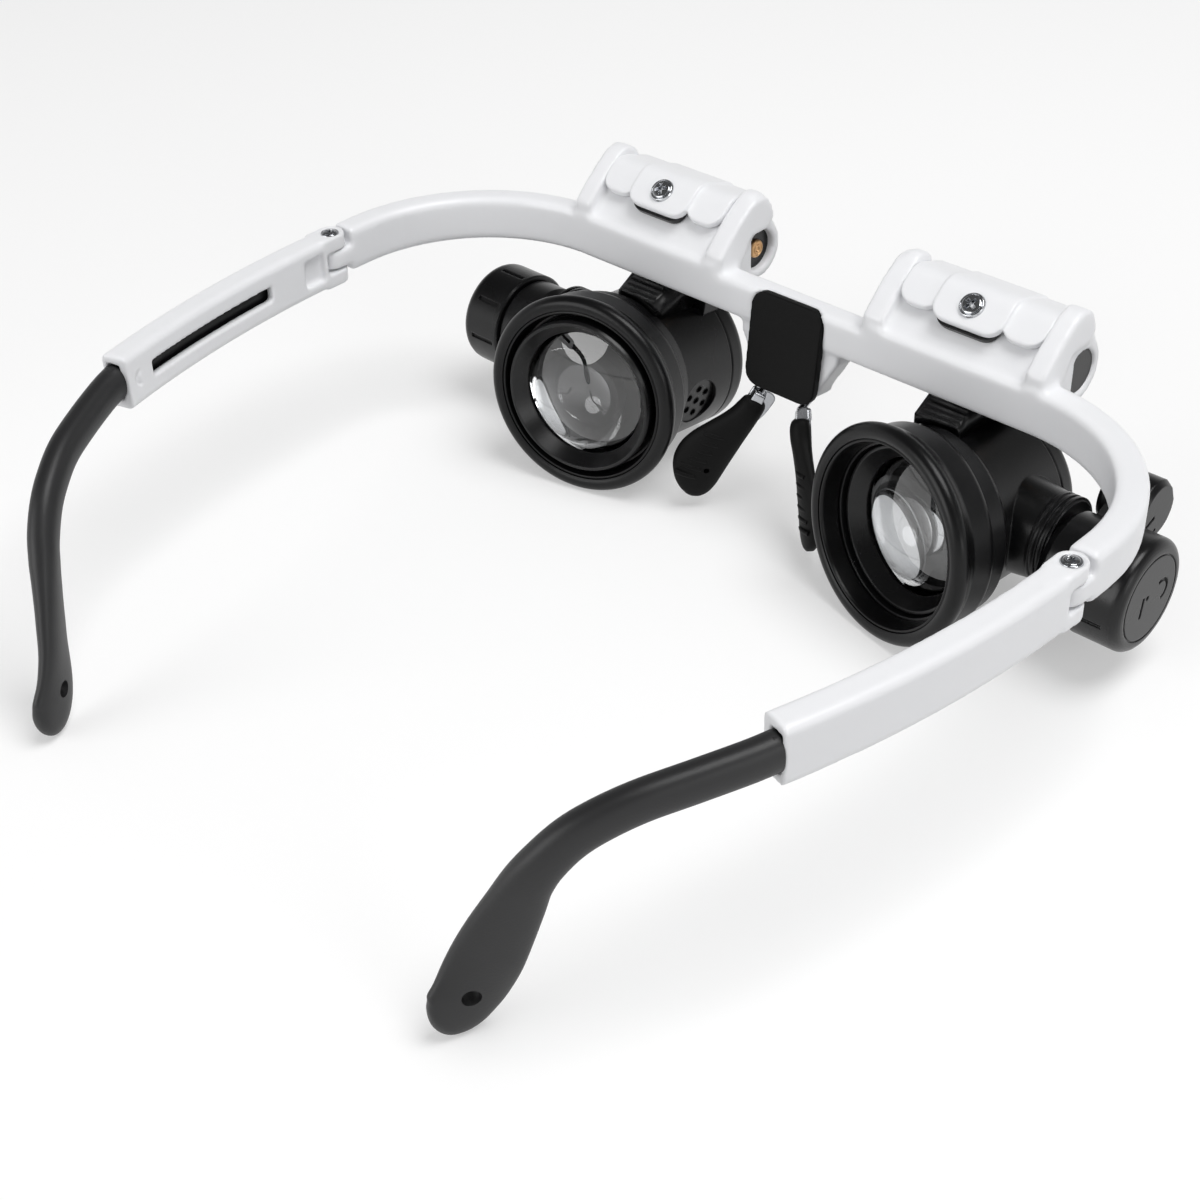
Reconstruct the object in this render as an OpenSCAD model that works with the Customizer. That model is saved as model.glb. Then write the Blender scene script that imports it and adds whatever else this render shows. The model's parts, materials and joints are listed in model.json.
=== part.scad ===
// Lighted loupe eyewear: a light frame with two loupes that tilt on a rod
// under a three lobed cap, side lamps, and temples whose arms slide to length.
// Millimetres. The wearer looks along -Y, +X is the wearer's left, Z is up.
// The origin is the centre of the bounding box on the surface it rests on.

/* [Frame] */
// Distance between the centres of the two temple hinge pins
hinge_span = 141.6; // [124:0.4:156]
// Distance from the front bar's centre back to the hinge pins
hinge_back = 33.9; // [30:0.1:40]
// Thickness of the frame bar
bar_t = 4.6; // [4:0.1:6]
// Height of the frame bar
bar_h = 7.6; // [6:0.1:10]
// Height of the bar's top edge above the surface
bar_top = 40.3; // [36:0.1:46]
// Radius of the frame's bend, at the centre of the bar
corner_r = 27; // [20:0.5:32]
// Rounding of the long edges of the bar
edge_r = 1.1; // [0.4:0.1:1.8]

/* [Tilt housings] */
// Distance between the centres of the two loupe housings
pupil_span = 60; // [56:0.5:66]
// Width of a housing over its two end ears
housing_w = 30; // [26:0.5:36]
// Thickness of an end ear
ear_t = 2.4; // [1.8:0.1:3.4]
// Distance of the ears' sloping edge from the rod
ear_d = 9.3; // [8.4:0.1:11]
// Radius of the brass rod
rod_r = 1.5; // [1:0.1:2.2]
// Radius of the hoop round the window in an ear
hoop_r = 4.9; // [4.4:0.1:6]
// Width of the black carriage on the rod
carriage_w = 11.6; // [9:0.1:14]
// Full tilt of a loupe, in degrees
tilt_max = 16; // [8:1:16]

/* [Loupes] */
// Outer radius of the eyecup's rim
rim_r = 17.05; // [16.5:0.05:19]
// Outer radius of the barrel
barrel_r = 13.2; // [12.8:0.1:13.6]
// Length of the barrel from the pivot of the eyepiece to the front
barrel_len = 22.2; // [17:0.1:26]
// Cant of the eyepiece towards the nose, in degrees
cant_yaw = 14; // [6:1:15]
// Cant of the whole loupe upwards to the eye, in degrees
cant_pitch = 6; // [3:0.5:8]
// Outer radius of the sliding lens cell
cell_r = 13.2; // [11.5:0.1:14]
// Length of the lens cell
cell_len = 6; // [5:0.1:8]
// Travel of the lens cell
cell_travel = 4.6; // [3:0.1:5]
// Radius of the clear eye lens
eye_lens_r = 11.2; // [9:0.1:12]
// Radius of the front lens
front_lens_r = 11.2; // [9:0.1:11.4]

/* [Lamps] */
// Radius of the battery cap
cap_r = 8.9; // [8:0.1:9]
// Width of the battery cap along its axis
cap_w = 8.5; // [6:0.1:12]
// Gap from the side of the barrel to the base of the lamp
lamp_gap = 5.83; // [4:0.01:12]
// Radius of a button cell
cell_button_r = 5.8; // [4.6:0.1:6]
// Distance from the lamp's swivel axis to the lamp head
head_reach = 14; // [13.6:0.1:18]
// Radius of the lamp head
head_r = 4.8; // [4:0.1:6]
// Angle of the left lamp above level, in degrees
left_lamp_deg = -30; // [-40:1:40]
// Angle of the right lamp above level, in degrees
right_lamp_deg = 22; // [-40:1:40]

/* [Temples] */
// Radius of the temple sleeve's bow in plan
bow_r = 176; // [150:1:260]
// Length of the sleeve from the hinge pin, along its bow
sleeve_len = 49.4; // [44:0.2:60]
// Height of the sleeve
sleeve_h = 8.8; // [7:0.1:11]
// Height of the arm where it leaves the sleeve
arm_h = 5.4; // [4.4:0.1:6.4]
// Width of the arm where it leaves the sleeve
arm_w = 4.2; // [3.6:0.1:5]
// Scale of the ear hook
hook_scale = 1; // [0.9:0.01:1.1]
// Radius of the hinge screw's shank
pin_r = 0.9; // [0.7:0.05:1.2]

/* [Nose rest] */
// Width of the soft brow pad
pad_w = 13.7; // [10:0.1:18]
// Height of the soft brow pad
pad_h = 16; // [12:0.1:20]
// Thickness of the soft brow pad
pad_t = 1.5; // [1:0.1:3]
// Radius of the nose wire
wire_r = 0.6; // [0.4:0.05:0.9]
// Length of a nose pad
nose_len = 20.6; // [16:0.2:24]

/* [Hidden] */
run_fit = 0.06;
slide_gap = 0.35;
part_gap = 0.02;
lens_fit = 0.03;
bar_y = 14.6;
bar_z = bar_top - bar_h / 2;
bar_rear = bar_y + bar_t / 2;
bar_front = bar_y - bar_t / 2;
bar_bot = bar_top - bar_h;
hinge_x = hinge_span / 2;
hinge_y = bar_y + hinge_back;
bend_x = hinge_x - corner_r;
bend_y = bar_y + corner_r;
rod_x = pupil_span / 2;
rod_y = bar_y - 9.4;
rod_z = bar_top - 1.7;
ear_in = rod_x - housing_w / 2;
ear_out = rod_x + housing_w / 2;
ear_round = 2.7;
ear_cy = rod_y + 1.5;
ear_cz = rod_z + (ear_d - ear_round) * sqrt(2) - 1.5;
slope_sum = rod_y + rod_z + ear_d * sqrt(2);
body_sum = slope_sum - 0.9;
hood_r = 9.75;
hood_t = 1.05;
lobe_t = 1.4;
screw_deg = 50;
lobe_low = 34;
side_low = 50;
cup_x = rod_x + 0.65;
cup_y = bar_rear + 15.7;
cup_z = 1.75 * sin(cant_pitch) + (rim_r - 1.45) * cos(cant_pitch) + 1.45;
pivot_back = 8;
axis_x = cup_x + pivot_back * sin(cant_yaw) * cos(cant_pitch);
axis_y = cup_y - pivot_back * cos(cant_yaw) * cos(cant_pitch);
axis_z = cup_z - pivot_back * sin(cant_pitch);
front_y = axis_y - barrel_len * cos(cant_pitch);
front_z = axis_z - barrel_len * sin(cant_pitch);
neck_r = 14.5;
lamp_y = axis_y - 8.9;
lamp_z = axis_z - 1.95;
cap_out = axis_x + barrel_r + lamp_gap + 14.9;
cap_in = cap_out - cap_w;
base_in = cap_out - 14.9;
head_x = cap_out - 11.2;
sleeve_top = bar_top;
sleeve_z = sleeve_top - sleeve_h / 2;
fork_r = bar_t / 2;
knuckle_h = 3.2;
knuckle_z = sleeve_z - 0.1;
bow_deg = 180 / PI / bow_r;
tongue_h = arm_h - 0.2;
tongue_w = 1.7;

module side(s) {
  translate([0, -mid_y, 0]) {
    if (s > 0) {
      children();
    } else {
      mirror([1, 0, 0]) children();
    }
  }
}

module rrect(w, h, r) {
  square([w - 2 * r, h], center = true);
  square([w, h - 2 * r], center = true);
  for (x = [-1, 1], y = [-1, 1]) {
    translate([x * (w / 2 - r), y * (h / 2 - r)]) circle(r = r, $fn = 40);
  }
}

// Draws a flat shape given in Y and Z and gives it a width along X
module across(x0, w) {
  translate([x0, 0, 0]) rotate([90, 0, 90]) linear_extrude(w) children();
}

// Puts a turned shape with its axis along X
module turned_x(x, y, z) {
  translate([x, y, z]) rotate([0, 90, 0]) children();
}

// Frame of the canted eyepiece: Y runs back to the eye from the rim's centre
module eyepiece() {
  translate([cup_x, cup_y, cup_z]) rotate([cant_pitch, 0, cant_yaw]) rotate([-90, 0, 0]) children();
}

// Frame of the barrel: Z runs back from the eyepiece's pivot
module barrel_axis() {
  translate([axis_x, axis_y, axis_z]) rotate([cant_pitch - 90, 0, 0]) children();
}

module ear_shape() {
  polygon([
    [bar_rear, bar_bot + 1],
    [bar_rear, slope_sum - bar_rear],
    [ear_cy + ear_round * cos(45), ear_cz + ear_round * sin(45)],
    [ear_cy - ear_round, ear_cz],
    [rod_y - hoop_r * cos(24), rod_z + hoop_r * sin(24)],
    [rod_y, rod_z],
    [rod_y + hoop_r * sin(20), rod_z - hoop_r * cos(20)],
    [bar_front, bar_bot + 0.6]]);
  translate([ear_cy, ear_cz]) circle(r = ear_round, $fn = 48);
  translate([rod_y, rod_z]) circle(r = hoop_r, $fn = 64);
}

module body_shape() {
  round_r = 7;
  round_z = body_sum - bar_rear - round_r * tan(22.5);
  polygon([
    [bar_rear, bar_bot + 1],
    [bar_rear, round_z],
    [bar_rear - round_r, round_z],
    [bar_rear - round_r * (1 - cos(45)), round_z + round_r * sin(45)],
    [rod_y + 4, body_sum - rod_y - 4],
    [rod_y + 4, bar_bot + 1.4]]);
  intersection() {
    translate([bar_rear - round_r, round_z]) circle(r = round_r, $fn = 96);
    translate([bar_rear - round_r, round_z]) polygon([[0, 0], [round_r + 1, 0], [round_r + 1, round_r + 1]]);
  }
}

// D shaped window through an ear, round the rod
module window_shape(play) {
  intersection() {
    translate([rod_y, rod_z]) circle(r = 3.4 - play, $fn = 48);
    translate([rod_y - 5, rod_z - 5]) square([7.1 - play, 10]);
  }
}

module frame_half() {
  translate([0, bar_y, bar_z - 0.6]) rotate([90, 0, 90]) linear_extrude(ear_in + 1) rrect(bar_t, bar_h - 1.2, edge_r);
  translate([ear_in + 0.4, bar_y, bar_z]) rotate([90, 0, 90]) linear_extrude(bend_x - ear_in - 0.4) rrect(bar_t, bar_h, edge_r);
  translate([bend_x, bend_y, bar_z]) rotate([0, 0, -90]) rotate_extrude(angle = 90, $fn = 180) translate([corner_r, 0]) rrect(bar_t, bar_h, edge_r);
  translate([hinge_x, hinge_y - fork_r - 0.4, bar_z]) rotate([90, 0, 0]) linear_extrude(hinge_y - fork_r - 0.4 - bend_y) rrect(bar_t, bar_h, edge_r);
  translate([hinge_x, hinge_y, knuckle_z - knuckle_h / 2]) cylinder(r = fork_r, h = knuckle_h, $fn = 48);
  translate([hinge_x - fork_r, hinge_y - fork_r - 1.4, knuckle_z - knuckle_h / 2]) cube([2 * fork_r, fork_r + 1.4, knuckle_h]);
  across(ear_in, ear_t) ear_shape();
  across(ear_out - ear_t, ear_t) ear_shape();
  across(ear_in + 1, housing_w - 2) body_shape();
}

module frame_cuts() {
  turned_x(ear_in + 0.8, rod_y, rod_z) cylinder(r = rod_r + part_gap, h = housing_w - 1.6, $fn = 48);
  across(ear_in - 1, ear_t + 2) window_shape(0);
  across(ear_out - ear_t - 1, ear_t + 2) window_shape(0);
  translate([hinge_x, hinge_y, knuckle_z - 5]) cylinder(r = pin_r + run_fit, h = 10, $fn = 40);
  // Shallow scoop below the middle lobe
  translate([rod_x - 6.2, rod_y, rod_z]) rotate([lobe_low - tilt_max - 2, 0, 0]) rotate([0, 90, 0]) difference() {
    cylinder(r = 13.4, h = 12.4, $fn = 96);
    translate([0, 0, -1]) cylinder(r = hood_r - 0.35, h = 14.4, $fn = 96);
    translate([0, -20, -1]) cube([40, 40, 15]);
    translate([-40, -40, -1]) cube([80, 40, 15]);
  }
}

// The nose block and pad lie in one tilted frame, Z out to the brow
module brow_frame() {
  translate([0, bar_rear + 1, bar_bot - 1.35]) rotate([-83.5, 0, 0]) children();
}

module front_frame() {
  color([0.93, 0.93, 0.94]) translate([0, -mid_y, 0]) difference() {
    union() {
      frame_half();
      mirror([1, 0, 0]) frame_half();
      brow_frame() translate([0, 0, -pad_t - 4.4]) linear_extrude(4.4) {
        polygon([[-9.6, -4], [9.6, -4], [9.6, 0], [pad_w / 2 - 0.2, 5.4], [4.4, 7.4], [-4.4, 7.4], [-pad_w / 2 + 0.2, 5.4], [-9.6, 0]]);
        for (x = [-1, 1]) {
          translate([x * 4.6, 5.4]) circle(r = 2, $fn = 32);
        }
      }
    }
    frame_cuts();
    mirror([1, 0, 0]) frame_cuts();
    wire_shape(part_gap);
    brow_frame() translate([0, 0, -pad_t - part_gap]) linear_extrude(pad_t + 3) rrect(pad_w + 0.06, pad_h + 0.06, 2.6);
  }
}

module brow_pad() {
  color([0.05, 0.05, 0.055]) translate([0, -mid_y, 0]) brow_frame() translate([0, 0, -pad_t]) linear_extrude(pad_t) rrect(pad_w, pad_h, 2.6);
}

wire_x = 4.1;
wire_y = bar_rear - 1.5;
wire_top = bar_bot - 4.6;
wire_low = bar_bot - 9.8;
wire_back = bar_rear + 2.2;

// Two legs joined by a cross wire inside the nose block
module wire_shape(play) {
  r = wire_r + play;
  for (s = [-1, 1]) {
    translate([s * wire_x, wire_y, wire_low]) cylinder(r = r, h = wire_top - wire_low, $fn = 24);
    translate([s * wire_x, wire_y, wire_top]) sphere(r = r, $fn = 24);
    translate([s * wire_x, wire_y, wire_low]) sphere(r = r, $fn = 24);
    translate([s * wire_x, wire_y, wire_low]) rotate([-112, 0, 0]) cylinder(r = r, h = 2.85, $fn = 24);
  }
  translate([-wire_x, wire_y, wire_top]) rotate([0, 90, 0]) cylinder(r = r, h = 2 * wire_x, $fn = 24);
}

module nose_wire() {
  color([0.75, 0.75, 0.77]) translate([0, -mid_y, 0]) difference() {
    wire_shape(0);
    nose_pin() cylinder(r = 0.3, h = 6, center = true, $fn = 20);
    mirror([1, 0, 0]) nose_pin() cylinder(r = 0.3, h = 6, center = true, $fn = 20);
  }
}

// A nose pad's frame: Y down the pad, Z out of its soft face
nose_y = wire_y + 2.15;
nose_z = wire_low - 0.87;
leaf_top = 1.55;
nose_turn = 43.5;
module nose_plane() {
  translate([wire_x, nose_y, nose_z]) rotate([0, 0, nose_turn]) rotate([-90, 0, 0]) children();
}
module nose_local() {
  nose_plane() rotate([-1.2, 0, -29.5]) children();
}
// Level pin on which the pad swings
module nose_pin() {
  nose_plane() rotate([0, 90, 0]) children();
}

// Outline of the steel leaf inside a pad
module leaf_shape(play) {
  translate([0, leaf_top + 8]) circle(r = 2.6 + play, $fn = 40);
  polygon([[-1.85 - play, 1.05], [1.85 + play, 1.05], [2.6 + play, leaf_top + 8], [-2.6 - play, leaf_top + 8]]);
}

module plate_part() {
  color([0.7, 0.71, 0.73]) {
    nose_local() translate([0, 0, -0.25]) linear_extrude(0.5) leaf_shape(0);
    // Two lugs beside the wire and the pin through it
    nose_local() for (x = [-1.85, 1.4]) {
      translate([x, -0.6, -0.55]) cube([0.45, 1.95, 1.1]);
    }
    nose_pin() cylinder(r = 0.25, h = 3.3, center = true, $fn = 20);
  }
}

// Soft leaf with a slot at its top that slips over the steel leaf
module pad_part() {
  color([0.05, 0.05, 0.055]) difference() {
    nose_local() hull() {
      translate([0, leaf_top + 2.4, 0]) scale([2.3, 2.4, 1.2]) sphere(r = 1, $fn = 28);
      translate([0, leaf_top + nose_len * 0.45, 0.1]) scale([3.4, 3.4, 1.25]) sphere(r = 1, $fn = 28);
      translate([0, leaf_top + nose_len - 4.8, 0.2]) scale([4.5, 4.8, 1.2]) sphere(r = 1, $fn = 32);
    }
    nose_local() translate([0, 0, -0.28]) linear_extrude(0.56) leaf_shape(0.1);
    nose_local() translate([0.6, leaf_top + nose_len - 5.6, -3]) cylinder(r = 0.55, h = 8, $fn = 24);
  }
}

// The bow's centre, and a frame in which the sleeve starts at angle 0
bow_start = 1;
bow_cx = hinge_x - bow_r * cos(bow_start);
bow_cy = hinge_y - bow_r * sin(bow_start);
module bow(s0) {
  translate([bow_cx, bow_cy, 0]) rotate([0, 0, bow_start + s0 * bow_deg]) children();
}

module sleeve_part() {
  color([0.93, 0.93, 0.94]) difference() {
    union() {
      bow(fork_r + 0.4) rotate_extrude(angle = (sleeve_len - fork_r - 0.4) * bow_deg, $fn = 720) translate([bow_r, sleeve_z]) rrect(bar_t, sleeve_h, edge_r);
      for (z = [sleeve_top - sleeve_h, knuckle_z + knuckle_h / 2 + 0.3]) {
        h = z < knuckle_z ? knuckle_z - knuckle_h / 2 - 0.3 - z : sleeve_top - z;
        translate([hinge_x, hinge_y, z]) cylinder(r = fork_r, h = h, $fn = 48);
        translate([hinge_x, hinge_y, z]) rotate([0, 0, bow_start]) translate([-fork_r, 0, 0]) cube([2 * fork_r, fork_r + 1, h]);
      }
    }
    // Channel for the arm's tongue, open at the rear
    bow(9) rotate_extrude(angle = (sleeve_len - 8) * bow_deg, $fn = 720) translate([bow_r + 0.35, sleeve_z]) square([tongue_w + 2 * slide_gap, tongue_h + 2 * slide_gap], center = true);
    // Long window on the inner face
    bow(15.5) rotate_extrude(angle = 28 * bow_deg, $fn = 720) translate([bow_r - bar_t / 2, sleeve_z]) square([3.2, 2.6], center = true);
    // Pocket on the inner face by the hinge
    bow(3.6) rotate_extrude(angle = 4.2 * bow_deg, $fn = 720) translate([bow_r - bar_t / 2, sleeve_z]) square([2.2, 4.8], center = true);
    // Thumb mark by the rear end
    bow(46.2) translate([bow_r - bar_t / 2 - 0.1, 0, sleeve_z]) rotate([0, 90, 0]) difference() {
      cylinder(r = 1.5, h = 0.6, $fn = 32);
      translate([0, -0.7, -1]) cylinder(r = 1.4, h = 3, $fn = 32);
    }
    translate([hinge_x, hinge_y, 0]) cylinder(r = pin_r + part_gap, h = 60, $fn = 40);
    translate([hinge_x, hinge_y, sleeve_top - 0.5]) cylinder(r = 1.75 + part_gap, h = 2, $fn = 40);
  }
}

module hinge_screw_part() {
  color([0.72, 0.72, 0.74]) translate([hinge_x, hinge_y, 0]) difference() {
    union() {
      translate([0, 0, sleeve_top - sleeve_h + 0.3]) cylinder(r = pin_r, h = sleeve_h - 0.4, $fn = 40);
      translate([0, 0, sleeve_top - 0.5]) cylinder(r = 1.75, h = 0.7, $fn = 40);
    }
    for (a = [0, 90]) {
      rotate([0, 0, a + 20]) translate([-1, -0.2, sleeve_top - 0.4]) cube([2, 0.4, 1]);
    }
  }
}

// Ear hook: length, heading in plan, drop, and half sizes of each step
hook = [
  [3.4, -22, -6, 1, 1], [6.6, -26.5, -7, 1, 1], [6.6, -29, -9, 1, 1], [5.2, -33, -20, 1, 1],
  [4.1, -35, -31, 1, 1.02], [4.4, -38, -46, 1, 1.04], [3.5, -44, -57, 1, 1.08], [3.72, -46, -66, 0.98, 1.18],
  [5.5, -46, -66, 0.9, 1.36], [5.3, -44, -67, 0.82, 1.58], [4, -36, -64, 0.76, 1.7], [3.2, -28, -52, 0.72, 1.6],
  [2.2, -24, -38, 0.66, 1.34], [1.3, -22, -30, 0.5, 0.9]];
end_deg = bow_start + sleeve_len * bow_deg;
hook_x0 = bow_cx + (bow_r + 0.35) * cos(end_deg);
hook_y0 = bow_cy + (bow_r + 0.35) * sin(end_deg);
function step(i) = hook_scale * hook[i][0] * [cos(hook[i][2]) * sin(hook[i][1]), cos(hook[i][2]) * cos(hook[i][1]), sin(hook[i][2])];
function spot(i) = i == 0 ? [hook_x0, hook_y0, sleeve_z] : spot(i - 1) + step(i - 1);
function near(i) = min(i, len(hook) - 1);
function head(i) = (hook[max(i - 1, 0)][1] + hook[near(i)][1]) / 2;
function drop(i) = (hook[max(i - 1, 0)][2] + hook[near(i)][2]) / 2;

// Middle of the whole object from the lamp heads to the tips of the hooks
function lamp_front(a) = (head_reach + 3.9) * cos(a) + (head_r - 2) * sin(abs(a));
tip_y = spot(len(hook))[1] + 1.52;
mid_y = (tip_y + lamp_y - max(lamp_front(left_lamp_deg), lamp_front(right_lamp_deg))) / 2;

module hook_disc(i) {
  k = near(i);
  first = i == 0;
  translate(spot(i)) rotate([0, 0, first ? end_deg : -head(i)]) rotate([first ? 0 : drop(i), 0, 0]) rotate([-90, 0, 0])
    scale([arm_w / 2 * hook[k][3], arm_h / 2 * hook[k][4], 1]) cylinder(r = 1, h = 0.4, $fn = 30);
}

module arm_part() {
  color([0.07, 0.07, 0.075]) {
    bow(13) rotate_extrude(angle = (sleeve_len - 12.6) * bow_deg, $fn = 720) translate([bow_r + 0.35, sleeve_z]) square([tongue_w, tongue_h], center = true);
    difference() {
      for (i = [0:len(hook) - 1]) {
        hull() {
          hook_disc(i);
          hook_disc(i + 1);
        }
      }
      translate(spot(11)) rotate([0, 0, 34]) rotate([0, 90, 0]) cylinder(r = 1.25, h = 12, center = true, $fn = 32);
    }
  }
}

module rod_part() {
  color([0.78, 0.58, 0.3]) turned_x(ear_in + 0.9, rod_y, rod_z) cylinder(r = rod_r, h = housing_w - 1.8, $fn = 48);
}

module bushes_part() {
  color([0.06, 0.06, 0.065]) difference() {
    union() {
      across(ear_in + 1.3, ear_t - 1.3) window_shape(0.02);
      across(ear_out - ear_t, ear_t - 0.4) window_shape(0.02);
    }
    turned_x(ear_in + 0.8, rod_y, rod_z) cylinder(r = rod_r + part_gap, h = housing_w - 1.6, $fn = 48);
  }
}

// Ring sector about the rod, from angle a0 to a1, where 0 points to the rear
module hood_sector(r0, r1, w, a0, a1) {
  translate([rod_x - w / 2, rod_y, rod_z]) rotate([90, 0, 90]) rotate([0, 0, a0])
    rotate_extrude(angle = a1 - a0, $fn = 96) translate([r0, 0]) square([r1 - r0, w]);
}

// Outline of a lobe, square above and with rounded lower corners, along the rod's radius at angle a
module tongue_cut(x, w, a, l, r) {
  translate([x, rod_y, rod_z]) rotate([a - 90, 0, 0]) {
    translate([-w / 2, -l / 2, 0]) cube([w, l - r, 20]);
    translate([-w / 2 + r, -l / 2, 0]) cube([w - 2 * r, l, 20]);
    for (s = [-1, 1]) {
      translate([s * (w / 2 - r), l / 2 - r, 0]) cylinder(r = r, h = 20, $fn = 40);
    }
  }
}

foot_top = bar_bot - 0.45;
foot_low = axis_z + barrel_r - 5;
foot_end = bar_rear - 1.6;
foot_w = 8;
module carriage_part() {
  color([0.07, 0.07, 0.075]) difference() {
    union() {
      turned_x(rod_x - carriage_w / 2, rod_y, rod_z) cylinder(r = 3.3, h = carriage_w, $fn = 64);
      translate([rod_x - carriage_w / 2, rod_y - 3.3, rod_z]) cube([carriage_w, 3.5, hood_r + 0.4]);
      hood_sector(hood_r, hood_r + hood_t, 10.4, lobe_low - 1, 109);
      translate([rod_x - carriage_w / 2, rod_y - 3.3, foot_low]) cube([carriage_w, 6.6, rod_z - foot_low]);
      across(rod_x - foot_w / 2, foot_w) polygon([
        [rod_y, foot_low], [rod_y, foot_top], [foot_end, foot_top], [foot_end + 3.4, foot_top - 1.9], [foot_end + 3.4, foot_low]]);
      for (i = [0:3]) {
        turned_x(rod_x - foot_w / 2 + 0.7, foot_end + 0.3 + i * 0.9, foot_top - 0.25 - i * 0.5) cylinder(r = 0.28, h = foot_w - 1.4, $fn = 20);
      }
    }
    turned_x(rod_x - 20, rod_y, rod_z) cylinder(r = rod_r + run_fit, h = 40, $fn = 48);
    barrel_axis() translate([0, 0, -40]) cylinder(r = barrel_r + part_gap, h = 80, $fn = 128);
    eyepiece() translate([0, 0, -tube_front - 0.3]) cylinder(r = neck_r + 0.2, h = 20, $fn = 128);
    translate([rod_x, rod_y, rod_z]) rotate([screw_deg - 90, 0, 0]) cylinder(r = 0.9 + part_gap, h = 30, $fn = 32);
  }
}

module cap_part() {
  color([0.93, 0.93, 0.94]) difference() {
    union() {
      intersection() {
        hood_sector(hood_r + hood_t + part_gap, hood_r + hood_t + lobe_t, 12.6, lobe_low - 8, 101);
        tongue_cut(rod_x, 11.6, lobe_low + 40, 16.6, 2.6);
      }
      for (s = [-1, 1]) {
        intersection() {
          translate([s * 8.72, 0, 0]) hood_sector(hood_r - 0.2, hood_r + 1.35, 7.8, side_low - 10, 101);
          tongue_cut(rod_x + s * 8.72, 6.86, side_low + 28, 10.8, 2.4);
        }
      }
      difference() {
        hood_sector(hood_r - 0.1, hood_r + 1.4, 24.2, 84, 103);
        hood_sector(hood_r - 1, hood_r + hood_t + part_gap, 10.4 + 2 * part_gap, 80, 112.5);
      }
    }
    translate([rod_x, rod_y, rod_z]) rotate([screw_deg - 90, 0, 0]) cylinder(r = 0.9 + part_gap, h = 30, $fn = 32);
    translate([rod_x - carriage_w / 2 - 0.3, rod_y - 3.6, rod_z]) cube([carriage_w + 0.6, 4.1, hood_r + 0.42]);
  }
}

module cap_screw_part() {
  color([0.72, 0.72, 0.74]) translate([rod_x, rod_y, rod_z]) rotate([screw_deg - 90, 0, 0]) difference() {
    union() {
      translate([0, 0, hood_r - 0.1]) cylinder(r = 0.9, h = 2.7, $fn = 32);
      translate([0, 0, hood_r + hood_t + lobe_t + part_gap]) cylinder(r1 = 1.8, r2 = 1.3, h = 0.85, $fn = 40);
    }
    for (a = [20, 110]) {
      rotate([0, 0, a]) translate([-0.9, -0.2, hood_r + hood_t + lobe_t + 0.4]) cube([1.8, 0.4, 2]);
    }
  }
}

tube_front = pivot_back + 4.6;
seam = 3.7;
module barrel_part() {
  color([0.07, 0.07, 0.075]) difference() {
    union() {
      barrel_axis() rotate_extrude($fn = 128) polygon(concat(
        [[0, -barrel_len], [barrel_r - 1.6, -barrel_len]],
        [for (i = [1:6]) [barrel_r - 1.6 + 1.6 * sin(i * 15), -barrel_len + 1.6 - 1.6 * cos(i * 15)]],
        [[barrel_r, -barrel_len + seam - 0.25], [barrel_r - 0.3, -barrel_len + seam], [barrel_r, -barrel_len + seam + 0.25],
        [barrel_r, 0], [0, 0]]));
      eyepiece() rotate_extrude($fn = 128) polygon([
        [0, -tube_front], [neck_r - 0.7, -tube_front], [neck_r, -tube_front + 0.9], [neck_r, -3.8], [0, -3.8]]);
      turned_x(axis_x, lamp_y - 2.2, lamp_z + 1.5) cylinder(r1 = 8.9, r2 = 6.6, h = base_in - axis_x - 0.4, $fn = 72);
      for (i = [0:2]) {
        turned_x(base_in - 3.2 + i, lamp_y - 2.2, lamp_z + 1.5) cylinder(r = 7.1, h = 0.5, $fn = 72);
      }
    }
    eyepiece() translate([0, 0, -cell_len - cell_travel - 0.6]) cylinder(r = cell_r + run_fit, h = 20, $fn = 128);
    barrel_axis() translate([0, 0, -barrel_len + 3]) cylinder(r = front_lens_r - 0.7, h = barrel_len, $fn = 96);
    barrel_axis() translate([0, 0, -barrel_len - 1]) cylinder(r = front_lens_r + lens_fit, h = 7, $fn = 96);
    barrel_axis() translate([0, 0, -barrel_len - 1]) cylinder(r = front_lens_r + 0.8, h = 3, $fn = 96);
    vent_place() translate([0, 0, -1.2]) cylinder(r = vent_r + part_gap, h = 6, $fn = 48);
    turned_x(base_in - 3.4, lamp_y, lamp_z) cylinder(r = 2 + run_fit, h = 10, $fn = 40);
  }
}

// Round vent on the nose side of the barrel, a little below its middle
vent_r = 4.1;
module vent_place() {
  barrel_axis() translate([0, 0, -10.6]) rotate([0, 0, 168]) rotate([0, 90, 0]) translate([0, 0, barrel_r - 0.6]) children();
}

module vent_part() {
  color([0.09, 0.09, 0.095]) vent_place() translate([0, 0, -1.2]) difference() {
    cylinder(r = vent_r, h = 1, $fn = 48);
    translate([0, 0, -1]) cylinder(r = 0.6, h = 4, $fn = 24);
    for (a = [0:5]) {
      rotate([0, 0, a * 60 + 30]) translate([2.35, 0, -1]) cylinder(r = 0.6, h = 4, $fn = 24);
    }
  }
}

module front_ring_part() {
  color([0.1, 0.1, 0.105]) barrel_axis() rotate_extrude($fn = 96) polygon([
    [front_lens_r - 1, -barrel_len + 0.5], [front_lens_r - 0.4, -barrel_len - 0.4], [front_lens_r + 0.5, -barrel_len - 0.4],
    [front_lens_r + 0.78, -barrel_len], [front_lens_r + 0.78, -barrel_len + 2], [front_lens_r - 1, -barrel_len + 2]]);
}

module lens_body(r, t, sag) {
  big = (r * r + sag * sag) / (2 * sag);
  intersection() {
    cylinder(r = r, h = t + 2 * sag, center = true, $fn = 96);
    translate([0, 0, t / 2 + sag - big]) sphere(r = big, $fn = 160);
    translate([0, 0, -t / 2 - sag + big]) sphere(r = big, $fn = 160);
  }
}

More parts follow.
